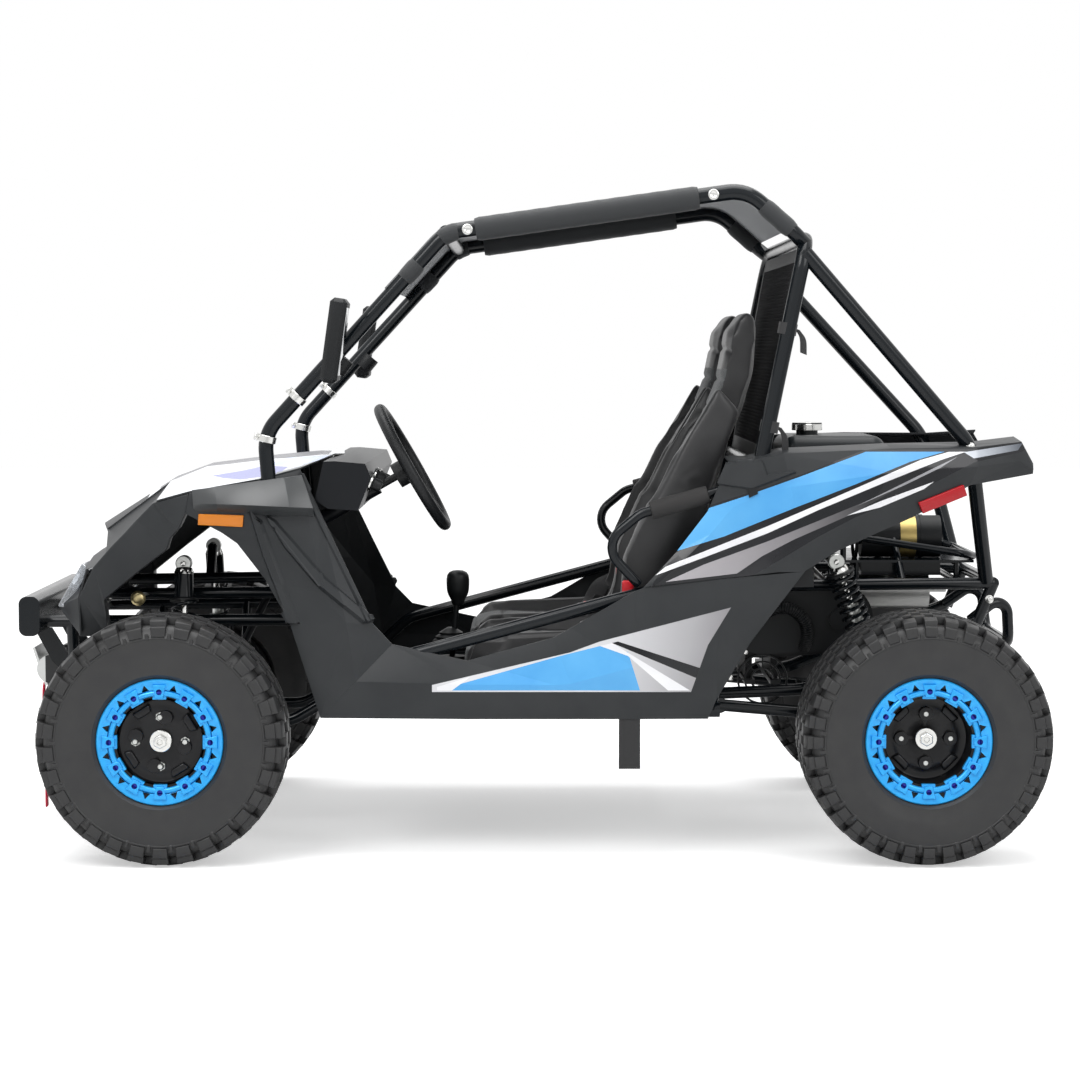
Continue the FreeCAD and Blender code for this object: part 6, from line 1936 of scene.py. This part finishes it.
def makeShiftBoot():
    x, y, z = mechSettings["shifter"]
    boot = turnedUp("shiftBoot", [(0.0, 0.052), (0.004, 0.054), (0.01, 0.05), (0.016, 0.043), (0.02, 0.045),
        (0.026, 0.037), (0.03, 0.038), (0.036, 0.028), (0.04, 0.029), (0.047, 0.017), (0.052, 0.009),
        (0.052, 0.0), (0.0, 0.0)], 40)
    placed(boot, (x, y, z))
    coat(boot, "moulded")
    collar = turnedUp("shiftCollar", [(0, 0.006), (0, 0.0095), (0.002, 0.0105), (0.012, 0.0105),
        (0.014, 0.009), (0.014, 0.006)])
    placed(collar, (x - 0.016, y, z + 0.132))
    coat(collar, "chromeNut")
    finishPiece([boot, collar], "shiftBoot", smooth=50)


def makeWinchStrap():
    route = [(1.15, 0.0, 0.352), (1.166, 0.0, 0.338), (1.17, 0.0, 0.29), (1.168, 0.0, 0.2),
        (1.166, 0.0, 0.11), (1.165, 0.0, 0.03)]
    webbing = strap("winchStrap", route, 0.024, 0.004, finishes["redWebbing"])
    hook = hose([(1.149, 0, 0.366), (1.16, 0, 0.378), (1.172, 0, 0.368), (1.172, 0, 0.346),
        (1.16, 0, 0.336), (1.15, 0, 0.344)], 0.0036, 28, 12)
    coat(hook, "zincSteel")
    finishPiece([webbing, hook], "winchStrap", smooth=40)


# knobs on the dash: place across, height and radius
dashKnobs = [(0.4, 0.842, 0.017), (0.33, 0.855, 0.017), (0.15, 0.845, 0.013), (0.08, 0.845, 0.013)]


def makeDash():
    # round knobs with bright rings, stood on the dash's rear face
    dash = nodes["dash_panel"]
    parts = []
    for y, z, reach in dashKnobs:
        hit, place, normal, index = dash.ray_cast(Vector((0.0, y, z)), Vector((1, 0, 0)))
        if not hit:
            continue
        knob = turnedUp("dashKnob", [(-0.003, 0.0), (-0.003, reach), (0.006, reach), (0.008, reach * 0.86),
            (0.024, reach * 0.8), (0.027, reach * 0.66), (0.027, 0.0)])
        ring = turnedUp("dashRing", [(0.0, reach * 0.9), (0.0, reach * 1.25), (0.003, reach * 1.2),
            (0.0035, reach * 0.9)])
        for part, finish in ((knob, finishes["gripLeather"]), (ring, finishes["chromeNut"])):
            turn = turnTo(normal)
            placed(part, place, turn)
            part.data.materials.append(finish)
            parts.append(part)
    finishPiece(parts, "dashKnobs", smooth=40)


hornSettings = {"centre": (0.887, 0.35, 0.572), "reach": 0.0175}


def makeHorn():
    # a small yellow-plated horn on a strap from the front frame
    centre = Vector(hornSettings["centre"])
    reach = hornSettings["reach"]
    shell = turnedRing("hornShell", [(-0.01, 0.0), (-0.01, reach * 0.7), (-0.006, reach * 0.95),
        (0.0, reach), (0.006, reach * 0.92), (0.01, reach * 0.62), (0.0115, reach * 0.3), (0.0115, 0.0)],
        36)
    placed(shell, centre)
    coat(shell, "yellowZinc")
    best = None
    for name in ("front_frame", "front_crossbars"):
        hit, place, normal, index = nodes[name].closest_point_on_mesh(centre)
        if hit and (best is None or (place - centre).length < (best - centre).length):
            best = place
    strapPiece = strap("hornStrap", [centre + Vector((0, -0.008, 0.01)),
        centre.lerp(best, 0.5) + Vector((0, 0, 0.008)), best], 0.012, 0.0025, finishes["zincSteel"],
        (1, 0, 0), 12)
    finishPiece([shell, strapPiece], "hornUnit", smooth=40)


seamSettings = {"x": (-0.655, -0.52), "y": 0.52, "z": (0.612, 0.672), "thick": 0.003}


def makePanelFlanges():
    # the sill panel's turned-in edge behind its joint with the rear fender
    for side, word in ((1, "Left"), (-1, "Right")):
        low = (seamSettings["x"][0], side * seamSettings["y"] - seamSettings["thick"] / 2,
            seamSettings["z"][0])
        high = (seamSettings["x"][1], side * seamSettings["y"] + seamSettings["thick"] / 2,
            seamSettings["z"][1])
        plate = brick(low, high)
        editAll(plate)
        bpy.ops.mesh.subdivide(number_cuts=6)
        doneEditing()
        for vertex in plate.data.vertices:
            share = (vertex.co.x - low[0]) / (high[0] - low[0])
            vertex.co.y += side * 0.004 * sin(share * pi) - side * 0.002
        bevelled(plate, 0.0012, 2, 50)
        finishPiece(plate, "panelFlange" + word, "moulded", 40)


makePanelFlanges()
makeHorn()
makeFuelCap()
makeCage()
print("cage built")
makeCleanerBand()
makeSideCase()
makeShiftGrip()
makeShiftBoot()
makeWinchStrap()
makeDash()
print("small parts built")


# Backdrop, floor and light

def makeStage():
    world = bpy.data.worlds.new("studioWorld")
    bpy.context.scene.world = world
    world.use_nodes = True
    tree = world.node_tree
    tree.nodes.clear()
    paths = tree.nodes.new("ShaderNodeLightPath")
    where = tree.nodes.new("ShaderNodeTexCoord")
    split = tree.nodes.new("ShaderNodeSeparateXYZ")
    ramp = tree.nodes.new("ShaderNodeValToRGB")
    shade = tree.nodes.new("ShaderNodeBackground")
    bright = tree.nodes.new("ShaderNodeBackground")
    mix = tree.nodes.new("ShaderNodeMixShader")
    out = tree.nodes.new("ShaderNodeOutputWorld")
    spread = tree.nodes.new("ShaderNodeMapRange")
    spread.inputs["From Min"].default_value = -1
    ramp.color_ramp.elements[0].position = 0.3
    ramp.color_ramp.elements[0].color = (0.3, 0.3, 0.31, 1)
    ramp.color_ramp.elements[1].position = 0.95
    ramp.color_ramp.elements[1].color = (1.0, 1.0, 1.0, 1)
    middle = ramp.color_ramp.elements.new(0.56)
    middle.color = (0.46, 0.47, 0.48, 1)
    tree.links.new(where.outputs["Generated"], split.inputs[0])
    tree.links.new(split.outputs["Z"], spread.inputs["Value"])
    tree.links.new(spread.outputs["Result"], ramp.inputs["Fac"])
    tree.links.new(ramp.outputs["Color"], shade.inputs["Color"])
    shade.inputs["Strength"].default_value = 0.95
    bright.inputs["Color"].default_value = (1, 1, 1, 1)
    bright.inputs["Strength"].default_value = 1.0
    seen = tree.nodes.new("ShaderNodeMath")
    seen.operation = "MAXIMUM"
    through = tree.nodes.new("ShaderNodeMath")
    through.operation = "MAXIMUM"
    tree.links.new(paths.outputs["Is Camera Ray"], seen.inputs[0])
    tree.links.new(paths.outputs["Is Glossy Ray"], seen.inputs[1])
    tree.links.new(seen.outputs[0], through.inputs[0])
    tree.links.new(paths.outputs["Is Transmission Ray"], through.inputs[1])
    tree.links.new(through.outputs[0], mix.inputs["Fac"])
    tree.links.new(shade.outputs[0], mix.inputs[1])
    tree.links.new(bright.outputs[0], mix.inputs[2])
    tree.links.new(mix.outputs[0], out.inputs["Surface"])

    bpy.ops.mesh.primitive_plane_add(size=40, location=(0, 0, 0))
    floor = bpy.context.object
    floor.name = "studioFloor"
    paint = bpy.data.materials.new("floorWhite")
    paint.use_nodes = True
    nodeTree = paint.node_tree
    nodeTree.nodes.clear()
    diffuse = nodeTree.nodes.new("ShaderNodeBsdfDiffuse")
    diffuse.inputs["Color"].default_value = (0.8, 0.8, 0.8, 1)
    lift = nodeTree.nodes.new("ShaderNodeEmission")
    lift.inputs["Strength"].default_value = 0.48
    both = nodeTree.nodes.new("ShaderNodeAddShader")
    rays = nodeTree.nodes.new("ShaderNodeLightPath")
    choose = nodeTree.nodes.new("ShaderNodeMixShader")
    output = nodeTree.nodes.new("ShaderNodeOutputMaterial")
    nodeTree.links.new(diffuse.outputs[0], both.inputs[0])
    nodeTree.links.new(lift.outputs[0], both.inputs[1])
    nodeTree.links.new(rays.outputs["Is Camera Ray"], choose.inputs["Fac"])
    nodeTree.links.new(diffuse.outputs[0], choose.inputs[1])
    nodeTree.links.new(both.outputs[0], choose.inputs[2])
    nodeTree.links.new(choose.outputs[0], output.inputs["Surface"])
    floor.data.materials.append(paint)

    lamps = [("keyPanel", (2.2, 3.6, 4.2), (0, 0, 0.5), 2.4, 100), ("fillPanel", (-3.2, 3.2, 3.0),
        (0, 0, 0.5), 2.4, 50), ("topPanel", (0, 0, 4.2), (0, 0, 0), 3.6, 130)]
    for name, place, target, size, power in lamps:
        data = bpy.data.lights.new(name, "AREA")
        data.size = size
        data.energy = power
        lamp = bpy.data.objects.new(name, data)
        bpy.context.scene.collection.objects.link(lamp)
        lamp.location = place
        lamp.rotation_euler = (Vector(target) - Vector(place)).to_track_quat("-Z", "Y").to_euler()


makeStage()
bpy.context.scene.view_settings.view_transform = "Standard"
